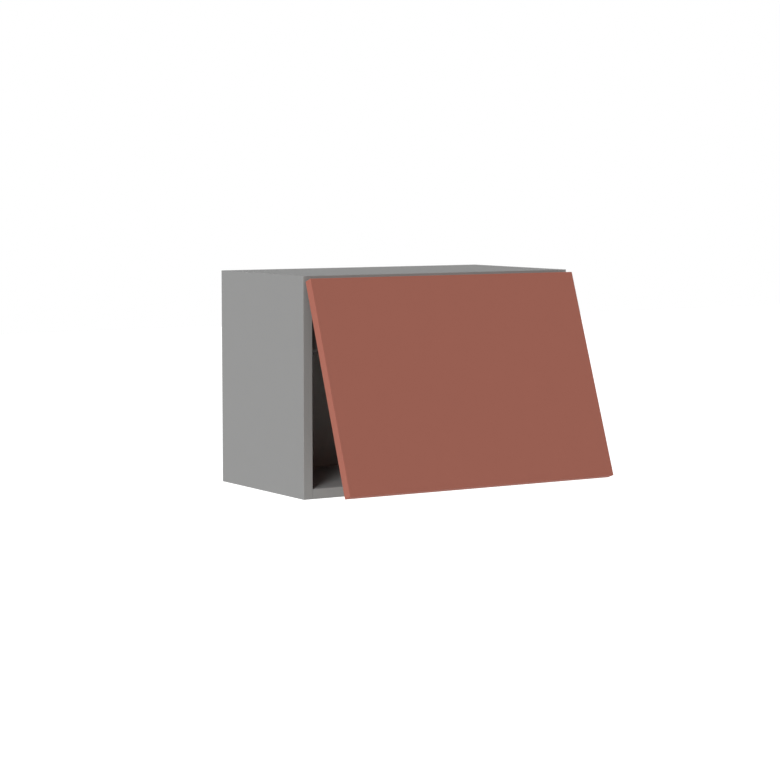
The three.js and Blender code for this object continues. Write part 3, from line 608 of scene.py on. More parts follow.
for side, sign in SIDES:
    low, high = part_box(f"hanger_body_{side}")
    screw_low, screw_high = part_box(f"hanger_screw_{side}")
    screw_x = (screw_low.x + screw_high.x) / 2
    screw_z = (screw_low.z + screw_high.z) / 2
    head_radius = (screw_high.x - screw_low.x) / 2
    wall = Vector((HANGER_STEEL,) * 3)
    hollow = block_shape(low + wall, (high.x - wall.x, high.y + OVERCUT, high.z - wall.z))
    hole = rod_shape(
        HANGER_SCREW + SCREW_PLAY,
        (screw_x, low.y - OVERCUT, screw_z),
        (screw_x, low.y + 2 * wall.y, screw_z),
    )
    box = carved(block_shape(low, high, HANGER_FOLD), hollow, hole)
    make_piece(
        f"hanger_box_{side}", box, [bright_steel], "root", [f"hanger_body_{side}"]
    )

    low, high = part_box(f"hanger_hook_{side}")
    hook = pressed_shape(
        filleted(
            [(low.y, 0), (high.y - HOOK_LIP, 0), (high.y - HOOK_LIP, low.z), (high.y, low.z),
             (high.y, high.z), (low.y, high.z)],
            HOOK_CORNERS,
        ),
        [], (low.x, high.x), "x", HOOK_EDGE,
    )
    make_piece(
        f"wall_hook_{side}", hook, [bright_steel], "root", [f"hanger_hook_{side}"]
    )

    length = screw_high.y - screw_low.y
    shank = length - HANGER_SCREW_HEAD
    threaded = thread_outline(shank, HANGER_SCREW, HANGER_SCREW_ROOT, HANGER_SCREW_PITCH)
    screw = turned_shape(
        [*threaded, (HANGER_SCREW_ROOT, shank), (head_radius, shank),
         (head_radius, length - HANGER_SCREW_ROUNDING),
         (head_radius - HANGER_SCREW_ROUNDING, length), (0, length)],
        (screw_x, screw_high.y, screw_z), (0, -1, 0), sides=32,
    )
    recess = cross_tools((screw_x, screw_low.y, screw_z), (0, -1, 0), *HANGER_SCREW_RECESS)
    make_piece(
        f"hanger_adjuster_{side}", carved(screw, *recess), [zinc], "root",
        [f"hanger_screw_{side}"],
    )

    low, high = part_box(f"hanger_cover_{side}")
    box_low, box_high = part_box(f"hanger_body_{side}")
    open_x = (low.x if sign < 0 else high.x) + sign * OVERCUT
    hollow = block_shape(
        (min(box_low.x - SEAT_GAP, open_x), box_low.y - SEAT_GAP, box_low.z - SEAT_GAP),
        (max(box_high.x + SEAT_GAP, open_x), high.y + OVERCUT, high.z + OVERCUT),
    )
    hole = rod_shape(
        head_radius + SCREW_PLAY,
        (screw_x, low.y - OVERCUT, screw_z),
        (screw_x, box_low.y, screw_z),
    )
    cap = carved(block_shape(low, high, COVER_ROUNDING), hollow, hole)
    make_piece(
        f"hanger_cap_{side}", cap, [pale_plastic], "root", [f"hanger_cover_{side}"]
    )

# ---- Hinges under the top panel ----
# Each cup hinge has a zinc mounting plate screwed under the top panel, a pressed steel arm that
# hangs from it, and a cranked link between the arm's pin and the pin in the flap's cup.
pivots = {joint["name"]: Vector(joint["pos_m"]) for joint in frame["joints"]}
arm_pin = pivots["hinge_link_turn"].yz
cup_pin = pivots["flap_lift"].yz
HINGE_ARM_STEEL = 0.0024
HINGE_BOSS = 0.0065
ARM_TAIL = 0.006
ARM_WAIST = 0.012
ARM_WAIST_RUN = 0.0165
ARM_SHOULDER = 0.004
ARM_CORNERS = (0.0015, 0.002, 0.004, 0.004, 0.0064, 0.0064, 0.002, 0.0015)  # from the rear top, down
ARM_WEB_SETBACK = 0.001
ARM_WEB_EDGE = 0.0002
HINGE_EYE = 0.0055
HINGE_BAR = 0.0032
HINGE_NECK = 0.0018
HINGE_NECK_LENGTH = 0.011
HINGE_NECK_LEAN = math.radians(5.92)
CUP_EYE = 0.0029
EYE_STEPS = 28
FULL_BAR_EASE = 1e-5  # a bar as wide as its eye is this much slimmer, so that no two points meet
PIN_PLAY = 0.0003
HINGE_PIN = 0.002
CUP_PIN = 0.0013
WING_SETBACK = 0.017
WING_HALF_DEPTH = 0.007
WING_CORNER = 0.006
WING_HOLE = 0.0022
WING_EDGE = 0.0004
WING_SCREW_SPACING = 0.016
WING_THICKNESS = 0.0025
RAIL_HALF_WIDTH = 0.009
RAIL_ROUNDING = 0.0008
PAN_HEAD = ((0, 0), (1, 0), (1, 0.4), (0.85, 0.8), (0.5, 1), (0, 1))  # shares of radius and height
PAN_RECESS = (1.1, 0.22, 0.6)  # length and width in radii, depth as a share of the height
pressed_steel = surface(
    "pressed_nickel_steel", srgb(188, 188, 190), mottle=0.05, patch=0.008, grain=0.0005, relief=0.06,
    roughness=(0.24, 0.38), metallic=1.0, stretch=(1, 4, 1),
)


def welded(shape, *parts):
    """A shape with parts joined to it."""
    return combined(shape, parts, "UNION")


def circle(centre, radius, steps=40):
    """Points round a whole circle."""
    return arc(centre, radius, 0, 2 * math.pi * (1 - 1 / steps), steps - 1)


def rectangle(low, high):
    """The corners of a rectangle between two opposite ones."""
    return [(low[0], low[1]), (high[0], low[1]), (high[0], high[1]), (low[0], high[1])]


def eye_bar(start, start_radius, end, end_radius, half_width):
    """The outline of a flat bar with a round eye at each end."""
    start, end = Vector(start), Vector(end)
    heading = math.atan2(end.y - start.y, end.x - start.x)
    first = math.asin(min(1.0, half_width / start_radius))
    second = math.asin(min(1.0, half_width / end_radius))
    return [
        *arc(start, start_radius, heading + first, heading + 2 * math.pi - first, EYE_STEPS),
        *arc(end, end_radius, heading - math.pi + second, heading + math.pi - second, EYE_STEPS),
    ]


def pin_shape(radius, centre, span, chamfer=0.0003, sides=32):
    """A plain pin across the cabinet, its ends chamfered, or without a chamfer a drill for one."""
    length = abs(span[1] - span[0])
    return turned_shape(
        [(0, 0), (radius - chamfer, 0), (radius, chamfer), (radius, length - chamfer),
         (radius - chamfer, length), (0, length)],
        (min(span), centre[0], centre[1]), (1, 0, 0), sides,
    )


def screw_shape(point, along, radius=0.0036, height=0.0018):
    """The pan head of a wood screw with a crossed recess, seated on a point."""
    point, along = Vector(point), Vector(along)
    outline = [(radius * across, height * up) for across, up in PAN_HEAD]
    length, width, depth = PAN_RECESS
    recess = cross_tools(
        point + along * height, along, radius * length, radius * width, height * depth
    )
    return carved(turned_shape(outline, point, along, sides=32), *recess)


neck_fall = Vector((math.sin(HINGE_NECK_LEAN), -math.cos(HINGE_NECK_LEAN)))
elbow = cup_pin + HINGE_NECK_LENGTH * neck_fall
for side, _ in SIDES:
    low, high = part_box(f"hinge_plate_{side}")
    x = (low.x + high.x) / 2
    rail = block_shape(
        (x - RAIL_HALF_WIDTH, low.y, low.z), (x + RAIL_HALF_WIDTH, high.y, high.z), RAIL_ROUNDING
    )
    wing_y = low.y + WING_SETBACK
    wings = pressed_shape(
        filleted(
            rectangle((low.x, wing_y - WING_HALF_DEPTH), (high.x, wing_y + WING_HALF_DEPTH)),
            WING_CORNER, steps=8,
        ),
        [circle((x + way * WING_SCREW_SPACING, wing_y), WING_HOLE) for way in (-1, 1)],
        (high.z - WING_THICKNESS, high.z), "z", WING_EDGE,
    )
    make_piece(
        f"mounting_plate_{side}", welded(rail, wings), [zinc], "root",
        [f"hinge_plate_{side}"],
    )
    for number, way in enumerate((-1, 1), 1):
        spot = (x + way * WING_SCREW_SPACING, wing_y, high.z - WING_THICKNESS)
        make_piece(
            f"plate_screw_{side}_{number}", screw_shape(spot, (0, 0, -1)), [bright_steel], "root",
        )

    low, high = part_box(f"hinge_arm_{side}")
    boss_front, boss_rear = arm_pin.x - HINGE_BOSS, arm_pin.x + HINGE_BOSS
    boss_foot, shoulder = arm_pin.y - HINGE_BOSS, arm_pin.y + ARM_SHOULDER
    cheek = filleted(
        [(high.y, high.z), (high.y, high.z - ARM_TAIL), (arm_pin.x + ARM_WAIST_RUN, high.z - ARM_WAIST),
         (boss_rear, shoulder), (boss_rear, boss_foot), (boss_front, boss_foot), (boss_front, shoulder),
         (arm_pin.x, high.z)],
        ARM_CORNERS, steps=8,
    )
    eye = circle(arm_pin, HINGE_PIN + PIN_PLAY, steps=24)
    arm = pressed_shape(cheek, [eye], (low.x, low.x + HINGE_ARM_STEEL))
    far_cheek = pressed_shape(cheek, [eye], (high.x - HINGE_ARM_STEEL, high.x))
    web = block_shape(
        (low.x + ARRIS, arm_pin.x + ARM_WEB_SETBACK, high.z - HINGE_ARM_STEEL),
        (high.x - ARRIS, high.y - ARRIS, high.z - ARRIS / 2), ARM_WEB_EDGE,
    )
    make_piece(
        f"hinge_bracket_arm_{side}", welded(arm, far_cheek, web), [pressed_steel], "root",
        [f"hinge_arm_{side}"],
    )
    make_piece(
        f"arm_pivot_{side}", pin_shape(HINGE_PIN, arm_pin, (low.x, high.x)), [zinc], "root",
        [f"hinge_arm_pin_{side}"],
    )

    low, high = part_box(f"hinge_link_{side}")
    span = (low.x, high.x)
    neck = pressed_shape(eye_bar(cup_pin, CUP_EYE, elbow, HINGE_BAR, HINGE_NECK), [], span)
    shank = pressed_shape(
        eye_bar(elbow, HINGE_BAR, arm_pin, HINGE_EYE, HINGE_BAR - FULL_BAR_EASE), [], span
    )
    link = carved(
        welded(neck, shank),
        pin_shape(CUP_PIN + PIN_PLAY, cup_pin, (low.x - OVERCUT, high.x + OVERCUT), chamfer=0),
        pin_shape(HINGE_PIN + PIN_PLAY, arm_pin, (low.x - OVERCUT, high.x + OVERCUT), chamfer=0),
    )
    make_piece(
        f"cranked_link_{side}", link, [pressed_steel], "hinge_links",
        [f"hinge_link_{side}"],
    )

# ---- Stay units ----
# The lifting stays, one on each side panel: a pressed base plate under a grey moulded housing, both
# held by three screws, with a torsion spring inside. A steel lever turns on the housing's inner
# side, on a headed pin through the whole unit, and a steel link joins the lever to the flap.
lever_pin = pivots["stay_lever_swing"].yz
link_pin = pivots["stay_link_turn"].yz
STAY_CORNER = 0.010
STAY_WALL = 0.0025
STAY_PLATE_EDGE = 0.0004
COVER_EDGE = 0.0018
COVER_HOLLOW_EDGE = 0.0005
COVER_OVERRUN = 0.004  # how far the moulding is drawn past its foot before the foot is cut square
COVER_CUT = 0.006
COVER_PANEL_INSET = 0.007
COVER_PANEL_CORNER = 0.006
COVER_PANEL_DEPTH = 0.0005
COVER_PANEL_EDGE = 0.0001
COVER_SCREW_INSET = 0.015
COVER_SCREW_SINK = 0.002
COVER_SCREW_WELL = 0.0048
COVER_SCREW_HEAD = (0.004, 0.0016)  # radius and height
STAY_PIVOT = 0.004
STAY_PIVOT_HEAD = 0.0065
STAY_PIVOT_HEAD_THICKNESS = 0.0015
STAY_PIVOT_HEAD_ROUNDING = 0.001
STAY_PIN = 0.003
PIN_HEAD = 0.001
PIN_HEAD_SKIRT = 0.0006
PIN_HEAD_FLAT = 0.6  # the flat middle of the head, as a share of its width
LEVER_EYE = 0.011
LEVER_TIP = 0.008
LEVER_BAR = 0.007
LEVER_HUB = 0.008
LEVER_STEEL = 0.005
HUB_COLLAR = 0.0125
LINK_EYE = 0.007
LINK_BAR = 0.005
LINK_END_PLAY = 0.0008
BAR_EDGE = 0.0005
SPRING_RADIUS = 0.0125
SPRING_WIRE = 0.0012
SPRING_TURNS = 5
SPRING_STEPS = 40
SPRING_START = 0.0048
SPRING_RUN = 0.0167
SPRING_LEG = 0.024
grey_plastic = surface(
    "grey_moulded_plastic", srgb(84, 82, 80), mottle=0.03, patch=0.01, grain=0.0005, relief=0.15,
    roughness=(0.5, 0.62),
)
spring_steel = surface(
    "oiled_spring_steel", srgb(92, 94, 98), mottle=0.08, patch=0.004, grain=0.0003, relief=0.08,
    roughness=(0.25, 0.4), metallic=1.0,
)


def inward(sign, depth):
    """The place across the cabinet that lies a depth in from a side panel's inner face."""
    return sign * (INNER_X - depth)


def rounded_plate(low, high, inset, radius):
    """A rounded rectangle in the side plane, drawn in from two corners by an inset."""
    return filleted(
        rectangle((low.y + inset, low.z + inset), (high.y - inset, high.z - inset)), radius, steps=8
    )


def headed_pin(centre, node):
    """A pin with a low domed head at both ends, as long and as wide as the frame's pin."""
    low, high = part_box(node)
    length = high.x - low.x
    head = (high.z - low.z) / 2
    half = [
        (0, 0), (head * PIN_HEAD_FLAT, 0), (head, PIN_HEAD_SKIRT), (head, PIN_HEAD), (STAY_PIN, PIN_HEAD)
    ]
    far_half = [(radius, length - height) for radius, height in reversed(half)]
    return turned_shape(half + far_half, (low.x, centre[0], centre[1]), (1, 0, 0), sides=36)


for side, sign in SIDES:
    low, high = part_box(f"stay_base_{side}")
    base = pressed_shape(
        rounded_plate(low, high, 0, STAY_CORNER), [circle(lever_pin, STAY_PIVOT + PIN_PLAY)],
        (low.x, high.x), "x", STAY_PLATE_EDGE,
    )
    make_piece(
        f"stay_plate_{side}", base, [pressed_steel], "root", [f"stay_base_{side}"]
    )
    low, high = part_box(f"stay_cover_{side}")
    cheek_x = high.x if sign < 0 else low.x
    foot_x = low.x if sign < 0 else high.x
    cut_x = foot_x + sign * COVER_CUT
    well_x = cheek_x + sign * COVER_SCREW_SINK
    block = pressed_shape(
        rounded_plate(low, high, 0, STAY_CORNER), [],
        (foot_x + sign * COVER_OVERRUN, cheek_x), "x", COVER_EDGE,
    )
    screws = (
        (low.y + COVER_SCREW_INSET, high.z - COVER_SCREW_INSET),
        (high.y - COVER_SCREW_INSET, high.z - COVER_SCREW_INSET),
        (high.y - COVER_SCREW_INSET, low.z + COVER_SCREW_INSET),
    )
    past_foot = block_shape(
        (min(foot_x, cut_x), low.y - OVERCUT, low.z - OVERCUT),
        (max(foot_x, cut_x), high.y + OVERCUT, high.z + OVERCUT),
    )
    hollow = pressed_shape(
        rounded_plate(low, high, STAY_WALL, STAY_CORNER - STAY_WALL), [],
        (cut_x, cheek_x + sign * STAY_WALL), "x", COVER_HOLLOW_EDGE,
    )
    hub_way = pin_shape(
        LEVER_HUB + PIN_PLAY, lever_pin, (cheek_x - 2 * STAY_WALL, cheek_x + 2 * STAY_WALL),
        chamfer=0,
    )
    sunk_panel = pressed_shape(
        rounded_plate(low, high, COVER_PANEL_INSET, COVER_PANEL_CORNER), [circle(lever_pin, HUB_COLLAR)],
        (cheek_x - COVER_PANEL_DEPTH, cheek_x + COVER_PANEL_DEPTH), "x", COVER_PANEL_EDGE,
    )
    wells = [
        pin_shape(COVER_SCREW_WELL, spot, (well_x, cheek_x - sign * OVERCUT), chamfer=0)
        for spot in screws
    ]
    housing = carved(block, past_foot, hollow, hub_way, sunk_panel, *wells)
    make_piece(
        f"stay_housing_{side}", housing, [grey_plastic], "root",
        [f"stay_cover_{side}"],
    )
    for number, spot in enumerate(screws, 1):
        screw = screw_shape((well_x, *spot), (-sign, 0, 0), *COVER_SCREW_HEAD)
        make_piece(
            f"stay_screw_{side}_{number}", screw, [bright_steel], "root"
        )

    low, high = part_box(f"stay_pivot_pin_{side}")
    length = high.x - low.x
    shank = length - STAY_PIVOT_HEAD_THICKNESS
    pivot = turned_shape(
        [(0, 0), (STAY_PIVOT - ARRIS, 0), (STAY_PIVOT, ARRIS), (STAY_PIVOT, shank),
         (STAY_PIVOT_HEAD, shank), (STAY_PIVOT_HEAD, length - 2 * ARRIS),
         (STAY_PIVOT_HEAD - STAY_PIVOT_HEAD_ROUNDING, length), (0, length)],
        (low.x if sign < 0 else high.x, lever_pin.x, lever_pin.y), (-sign, 0, 0), sides=40,
    )
    make_piece(
        f"lever_pivot_{side}", pivot, [zinc], "root", [f"stay_pivot_pin_{side}"]
    )

    low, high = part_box(f"stay_lever_{side}")
    hub = pin_shape(LEVER_HUB, lever_pin, (low.x, high.x), ARRIS, sides=48)
    blade_x = high.x if sign < 0 else low.x
    blade = pressed_shape(
        eye_bar(lever_pin, LEVER_EYE, link_pin, LEVER_TIP, LEVER_BAR), [],
        (blade_x, blade_x + sign * LEVER_STEEL), "x", BAR_EDGE,
    )
    lever = carved(
        welded(blade, hub),
        pin_shape(STAY_PIVOT + PIN_PLAY, lever_pin, (low.x - OVERCUT, high.x + OVERCUT), chamfer=0),
        pin_shape(STAY_PIN + PIN_PLAY, link_pin, (low.x - OVERCUT, high.x + OVERCUT), chamfer=0),
    )
    make_piece(
        f"lifting_lever_{side}", lever, [pressed_steel], "stay_levers",
        [f"stay_lever_{side}"],
    )
    make_piece(
        f"lever_link_pin_{side}", headed_pin(link_pin, f"stay_link_pin_{side}"), [zinc],
        "stay_levers", [f"stay_link_pin_{side}"],
    )

    low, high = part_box(f"stay_link_{side}")
    bracket_pin = middle_of(f"door_bracket_pin_{side}").yz
    link = pressed_shape(
        eye_bar(link_pin, LINK_EYE, bracket_pin, LINK_EYE, LINK_BAR),
        [circle(link_pin, STAY_PIN + PIN_PLAY), circle(bracket_pin, STAY_PIN + LINK_END_PLAY)],
        (low.x, high.x), "x", BAR_EDGE,
    )
    make_piece(
        f"flap_link_{side}", link, [pressed_steel], "stay_links", [f"stay_link_{side}"]
    )

    wire = bpy.data.curves.new(f"torsion_spring_{side}", "CURVE")
    wire.dimensions = "3D"
    wire.bevel_depth = SPRING_WIRE
    wire.bevel_resolution = 4
    wire.use_fill_caps = True
    steps = SPRING_TURNS * SPRING_STEPS
    path = []
    for step in range(steps + 1):
        angle = 2 * math.pi * step / SPRING_STEPS
        path.append((
            inward(sign, SPRING_START + SPRING_RUN * step / steps),
            lever_pin.x + SPRING_RADIUS * math.sin(angle),
            lever_pin.y + SPRING_RADIUS * math.cos(angle),
        ))
    last_x, last_y, last_z = path[-1]
    path.append((last_x, last_y + SPRING_LEG, last_z))
    spline = wire.splines.new("POLY")
    spline.points.add(len(path) - 1)
    for point, spot in zip(spline.points, path):
        point.co = (*spot, 1)
    make_piece(
        f"torsion_spring_{side}", shape_of(wire), [spring_steel], "root",
        [f"stay_spring_{side}"],
    )

# ---- Flap door ----
# One 19 mm board faced with matt terracotta laminate on both sides, banded on all four edges in
# the same colour. Two blind cup bores are milled in its back. It stands open by 19.8 degrees.
FLAP_OPEN = math.radians(19.8)
FLAP_BACK = 0.0027
FLAP_THICKNESS = 0.019
FLAP_TOP = 0.0105
FLAP_HEIGHT = 0.413
FLAP_BAND = 0.001
FLAP_ROUNDING = 0.0008
CORE_ARRIS = 0.00012
CUP_DEPTH = 0.012
CUP_RADIUS = 0.0175
CUP_INSET = 0.020
CUP_CENTRE = FLAP_TOP - CUP_INSET
laminate = surface(
    "terracotta_laminate", srgb(167, 104.5, 90), mottle=0.006, patch=0.05, grain=0.0006, relief=0.03,
    roughness=(0.7, 0.8), gloss=0.06,
)
laminate_band = surface(
    "terracotta_edge_band", srgb(172, 106, 91), mottle=0.01, patch=0.02, grain=0.0003, relief=0.03,
    roughness=(0.62, 0.7), gloss=0.1,
)
half_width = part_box("door_panel")[1].x
cup_low, cup_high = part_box("hinge_cup_right")
hinge_x = (cup_low.x + cup_high.x) / 2
flap_place = Matrix.Translation(pivots["flap_lift"]) @ Matrix.Rotation(-FLAP_OPEN, 4, "X")


def on_flap(shape):
    """Moves a shape drawn with the cup pin at the origin and the flap upright to where it stands."""
    shape.transform(flap_place)
    return shape


flap_low = Vector((-half_width, FLAP_BACK - FLAP_THICKNESS, FLAP_TOP - FLAP_HEIGHT))
flap_high = Vector((half_width, FLAP_BACK, FLAP_TOP))
cup_bores = [
    rod_shape(
        CUP_RADIUS + PIN_PLAY,
        (sign * hinge_x, FLAP_BACK + OVERCUT, CUP_CENTRE),
        (sign * hinge_x, FLAP_BACK - CUP_DEPTH - SEAT_GAP, CUP_CENTRE),
        sides=64,
    )
    for _, sign in SIDES
]
margin = Vector((FLAP_BAND, 0, FLAP_BAND))
core = carved(block_shape(flap_low + margin, flap_high - margin, CORE_ARRIS), *cup_bores)
for face in core.faces:
    middle = face.calc_center_median()
    face.material_index = int(flap_low.y + ARRIS < middle.y < flap_high.y - ARRIS)
make_piece(
    "flap_board", on_flap(core), [laminate, chipboard], "door", ["door_panel"]
)
through = Vector((0, OVERCUT, 0))
band = carved(
    block_shape(flap_low, flap_high, FLAP_ROUNDING),
    block_shape(flap_low + margin - through, flap_high - margin + through),
)
make_piece("flap_edge_band", on_flap(band), [laminate_band], "door")

# ---- Buffers ----
# Two clear domed buffers, stuck to the back of the flap near its lower corners, which meet the
# front edges of the side panels when the flap shuts.
BUFFER_RADIUS = 0.004
BUFFER_HEIGHT = 0.0022
BUFFER_DROP = 0.3705
BUFFER_DOME = ((0, 0), (1, 0), (1, 0.3), (0.92, 0.62), (0.72, 0.86), (0.4, 0.97), (0, 1))
CLEARNESS = 0.35
clear_rubber = surface(
    "clear_soft_rubber", srgb(205, 205, 200), mottle=0.02, patch=0.004, grain=0.0006, relief=0.05,
    roughness=(0.25, 0.4),
)
rubber_shader = clear_rubber.node_tree.nodes["Principled BSDF"]
rubber_shader.inputs["Transmission Weight"].default_value = CLEARNESS

for side, _ in SIDES:
    dome = turned_shape(
        [(BUFFER_RADIUS * across, BUFFER_HEIGHT * up) for across, up in BUFFER_DOME],
        (middle_of(f"bumper_{side}").x, FLAP_BACK + SEAT_GAP, -BUFFER_DROP), (0, 1, 0), sides=36,
    )
    make_piece(
        f"soft_buffer_{side}", on_flap(dome), [clear_rubber], "door",
        [f"bumper_{side}"],
    )

# ---- Hinge cups in the flap ----
# A drawn steel cup pressed into each bore, with a flange held by two screws on the flap's back
# and a riveted pin across it that the cranked link turns on.
FLANGE = 0.0012
FLANGE_HALF_LENGTH = 0.026
FLANGE_HALF_HEIGHT = 0.012
FLANGE_CORNER = 0.005
FLANGE_EDGE = 0.0003
CUP_WALL = 0.0015
CUP_FOOT = 0.001
CUP_BOWL = 0.002
CUP_FLARE = 0.0008
CUP_RIM_STEP = 0.0005
CUP_MOUTH_OVERCUT = 0.0002
CUP_SCREW_SPACING = 0.0215
CUP_SCREW_DROP = 0.004
CUP_SCREW_HEAD = (0.0032, 0.0014)
CUP_BORE = CUP_RADIUS - CUP_WALL
seat = FLAP_BACK + SEAT_GAP
rim = seat + FLANGE
bottom = FLAP_BACK - CUP_DEPTH
lip = rim - bottom - CUP_RIM_STEP
mouth = rim - bottom - CUP_WALL + CUP_MOUTH_OVERCUT

for side, sign in SIDES:
    x = sign * hinge_x
    flange = pressed_shape(
        filleted(
            rectangle(
                (x - FLANGE_HALF_LENGTH, CUP_CENTRE - FLANGE_HALF_HEIGHT),
                (x + FLANGE_HALF_LENGTH, CUP_CENTRE + FLANGE_HALF_HEIGHT),
            ),
            FLANGE_CORNER, steps=8,
        ),
        [], (seat, rim), "y", FLANGE_EDGE,
    )
    outside = turned_shape(
        [(0, 0), (CUP_RADIUS - CUP_FOOT, 0), (CUP_RADIUS, CUP_FOOT), (CUP_RADIUS, lip), (0, lip)],
        (x, bottom, CUP_CENTRE), (0, 1, 0), sides=64,
    )
    inside = turned_shape(
        [(0, 0), (CUP_BORE - CUP_BOWL, 0), (CUP_BORE, CUP_BOWL), (CUP_BORE, mouth - CUP_FLARE),
         (CUP_BORE + CUP_FLARE, mouth), (0, mouth)],
        (x, bottom + CUP_WALL, CUP_CENTRE), (0, 1, 0), sides=64,
    )
    pin_low, pin_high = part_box(f"hinge_cup_pin_{side}")
    pin_way = pin_shape(CUP_PIN + PIN_PLAY, (0, 0), (x - CUP_RADIUS, x + CUP_RADIUS), chamfer=0)
    cup = carved(welded(flange, outside), inside, pin_way)
    make_piece(
        f"hinge_cup_shell_{side}", on_flap(cup), [pressed_steel], "door",
        [f"hinge_cup_{side}"],
    )
    make_piece(
        f"cup_pivot_{side}", on_flap(pin_shape(CUP_PIN, (0, 0), (pin_low.x, pin_high.x))), [zinc],
        "door", [f"hinge_cup_pin_{side}"],
    )
    for number, way in enumerate((-1, 1), 1):
        spot = (x + way * CUP_SCREW_SPACING, rim, CUP_CENTRE - CUP_SCREW_DROP)
        screw = screw_shape(spot, (0, 1, 0), *CUP_SCREW_HEAD)
        make_piece(
            f"cup_screw_{side}_{number}", on_flap(screw), [bright_steel], "door"
        )

# ---- Flap brackets ----
# A folded steel bracket screwed to the flap's back on each side, with two lugs and a riveted
# pin between them that carries the end of the stay's link.
BRACKET_STEEL = 0.0025
BRACKET_REACH = 0.0255
BRACKET_DROP = 0.0555
BRACKET_HALF_HEIGHT = 0.020
BRACKET_CORNER = 0.003
BRACKET_EDGE = 0.0004
BRACKET_EYE = 0.007
LUGS = ((0.0304, 0.0329), (0.0389, 0.0414))  # depths in from the side panel of each lug's faces
LUG_EDGE = 0.0003
LUG_ROOT = 0.010  # how far behind the plate the lugs' round ends are trimmed off
TAB = 0.005
SCREW_RISE = 0.0145
foot, top = -BRACKET_DROP - BRACKET_HALF_HEIGHT, -BRACKET_DROP + BRACKET_HALF_HEIGHT
rivet = (BRACKET_REACH, -BRACKET_DROP)
lug_outline = eye_bar(
    (seat + BRACKET_STEEL / 2, -BRACKET_DROP), BRACKET_EYE, rivet, BRACKET_EYE,
    BRACKET_EYE - FULL_BAR_EASE,
)

for side, sign in SIDES:
    left, right = sorted((inward(sign, LUGS[0][0] - TAB), inward(sign, LUGS[1][1] + TAB)))
    plate = pressed_shape(
        filleted(rectangle((left, foot), (right, top)), BRACKET_CORNER, steps=6),
        [], (seat, seat + BRACKET_STEEL), "y", BRACKET_EDGE,
    )
    lugs = [
        pressed_shape(lug_outline, [], (inward(sign, near), inward(sign, far)), "x", LUG_EDGE)
        for near, far in LUGS
    ]
    behind = block_shape((left - OVERCUT, seat - LUG_ROOT, foot), (right + OVERCUT, seat, top))
    pin_way = pin_shape(STAY_PIN + PIN_PLAY, rivet, (left - OVERCUT, right + OVERCUT), chamfer=0)
    bracket = carved(welded(plate, *lugs), behind, pin_way)
    make_piece(
        f"flap_bracket_{side}", on_flap(bracket), [pressed_steel], "door",
        [f"door_bracket_{side}"],
    )
    make_piece(
        f"bracket_rivet_{side}", on_flap(headed_pin(rivet, f"door_bracket_pin_{side}")), [zinc],
        "door", [f"door_bracket_pin_{side}"],
    )
    for number, rise in enumerate((-SCREW_RISE, SCREW_RISE), 1):
        spot = ((left + right) / 2, seat + BRACKET_STEEL, -BRACKET_DROP + rise)
        screw = screw_shape(spot, (0, 1, 0))
        make_piece(
            f"bracket_screw_{side}_{number}", on_flap(screw), [bright_steel], "door"
        )

# ---- Studio ----
# The camera stands to the left of the cabinet and a little above it. Pale surroundings light it
# evenly, a wide lamp on the left lifts the left side and the top, and a smaller one over the
# camera's left shoulder throws the slanting light on the cabinet's floor.
CAMERA_PLACE = (-2.44413, -4.03509, 0.21113)
CAMERA_DIP = math.radians(5.144)
CAMERA_TURN = math.radians(32.127)
SENSOR_WIDTH = 36.0
LENS = 107.358
WHITE = (1.0, 1.0, 1.0, 1.0)
SURROUND = 0.29  # how strongly the room lights the cabinet
SURROUND_SEEN = 1.0  # and how bright it looks behind it and in its metal parts
LAMPS = (  # strength, spread, and the way each one shines
    ("side_lamp", 1.02, math.radians(50), (0.81, 0.0, -0.59)),
    ("front_lamp", 1.31, math.radians(14), (0.56, 0.56, -0.61)),
)
FLOOR_HEIGHT = -2.2
FLOOR_SIZE = 60.0
FLOOR_TONE = 0.95
FLOOR_GLOW = 0.5

camera = new_object("camera", bpy.data.cameras.new("camera"))
camera.location = CAMERA_PLACE
camera.rotation_euler = (math.pi / 2 - CAMERA_DIP, 0, -CAMERA_TURN)
camera.data.sensor_width = SENSOR_WIDTH
camera.data.lens = LENS
bpy.context.scene.camera = camera

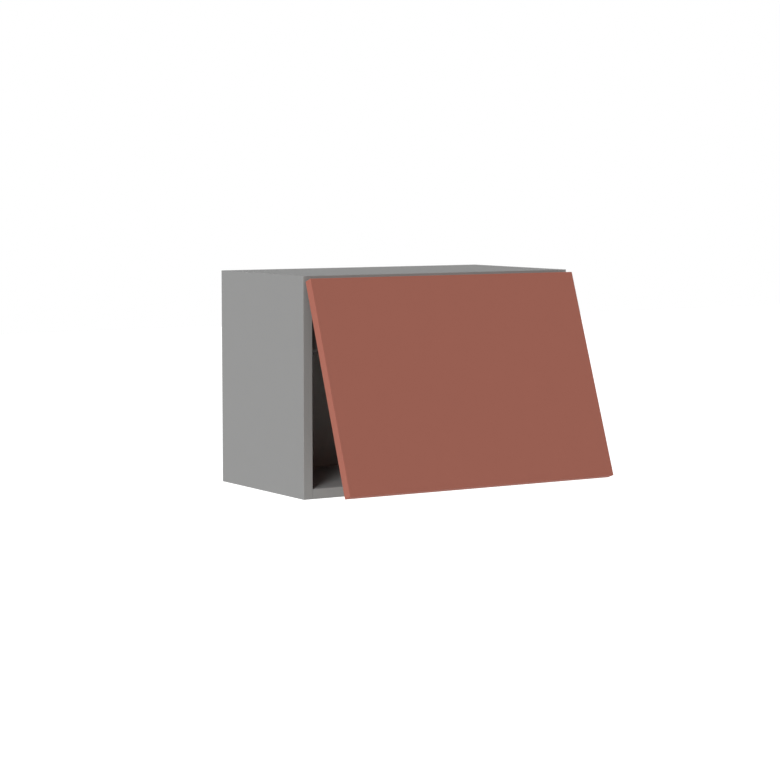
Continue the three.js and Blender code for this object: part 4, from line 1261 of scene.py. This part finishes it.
for name, power, spread, towards in LAMPS:
    lamp = new_object(name, bpy.data.lights.new(name, "SUN"))
    lamp.data.energy = power
    lamp.data.angle = spread
    lamp.rotation_euler = Vector(towards).to_track_quat("-Z", "Y").to_euler()


def seen_or_glossy(nodes, links):
    """1 for what the eye sees directly, in a reflection or through something clear, else 0."""
    path = nodes.new("ShaderNodeLightPath")
    total = path.outputs["Is Camera Ray"]
    for kind in ("Is Glossy Ray", "Is Transmission Ray"):
        either = nodes.new("ShaderNodeMath")
        either.operation = "MAXIMUM"
        links.new(total, either.inputs[0])
        links.new(path.outputs[kind], either.inputs[1])
        total = either.outputs["Value"]
    return total


world = bpy.data.worlds.new("pale_room")
world.use_nodes = True
bpy.context.scene.world = world
nodes = world.node_tree.nodes
links = world.node_tree.links
room = nodes["Background"]
room.inputs["Color"].default_value = WHITE
brightness = nodes.new("ShaderNodeMapRange")
brightness.inputs["To Min"].default_value = SURROUND
brightness.inputs["To Max"].default_value = SURROUND_SEEN
links.new(seen_or_glossy(nodes, links), brightness.inputs["Value"])
links.new(brightness.outputs["Result"], room.inputs["Strength"])

floor_paint, nodes, links, paint = blank_finish("pale_floor")
paint.inputs["Base Color"].default_value = (FLOOR_TONE, FLOOR_TONE, FLOOR_TONE, 1.0)
paint.inputs["Roughness"].default_value = 0.9
paint.inputs["Emission Color"].default_value = WHITE
glow = nodes.new("ShaderNodeMath")
glow.operation = "MULTIPLY"
glow.inputs[1].default_value = FLOOR_GLOW
links.new(seen_or_glossy(nodes, links), glow.inputs[0])
links.new(glow.outputs["Value"], paint.inputs["Emission Strength"])
floor_sheet = bmesh.new()
bmesh.ops.create_grid(floor_sheet, x_segments=1, y_segments=1, size=FLOOR_SIZE / 2)
floor_mesh = bpy.data.meshes.new("floor")
floor_sheet.to_mesh(floor_mesh)
floor_sheet.free()
floor_mesh.materials.append(floor_paint)
floor = new_object("floor", floor_mesh)
floor.location = (0, 0, FLOOR_HEIGHT)

bpy.context.scene.view_settings.view_transform = "Standard"
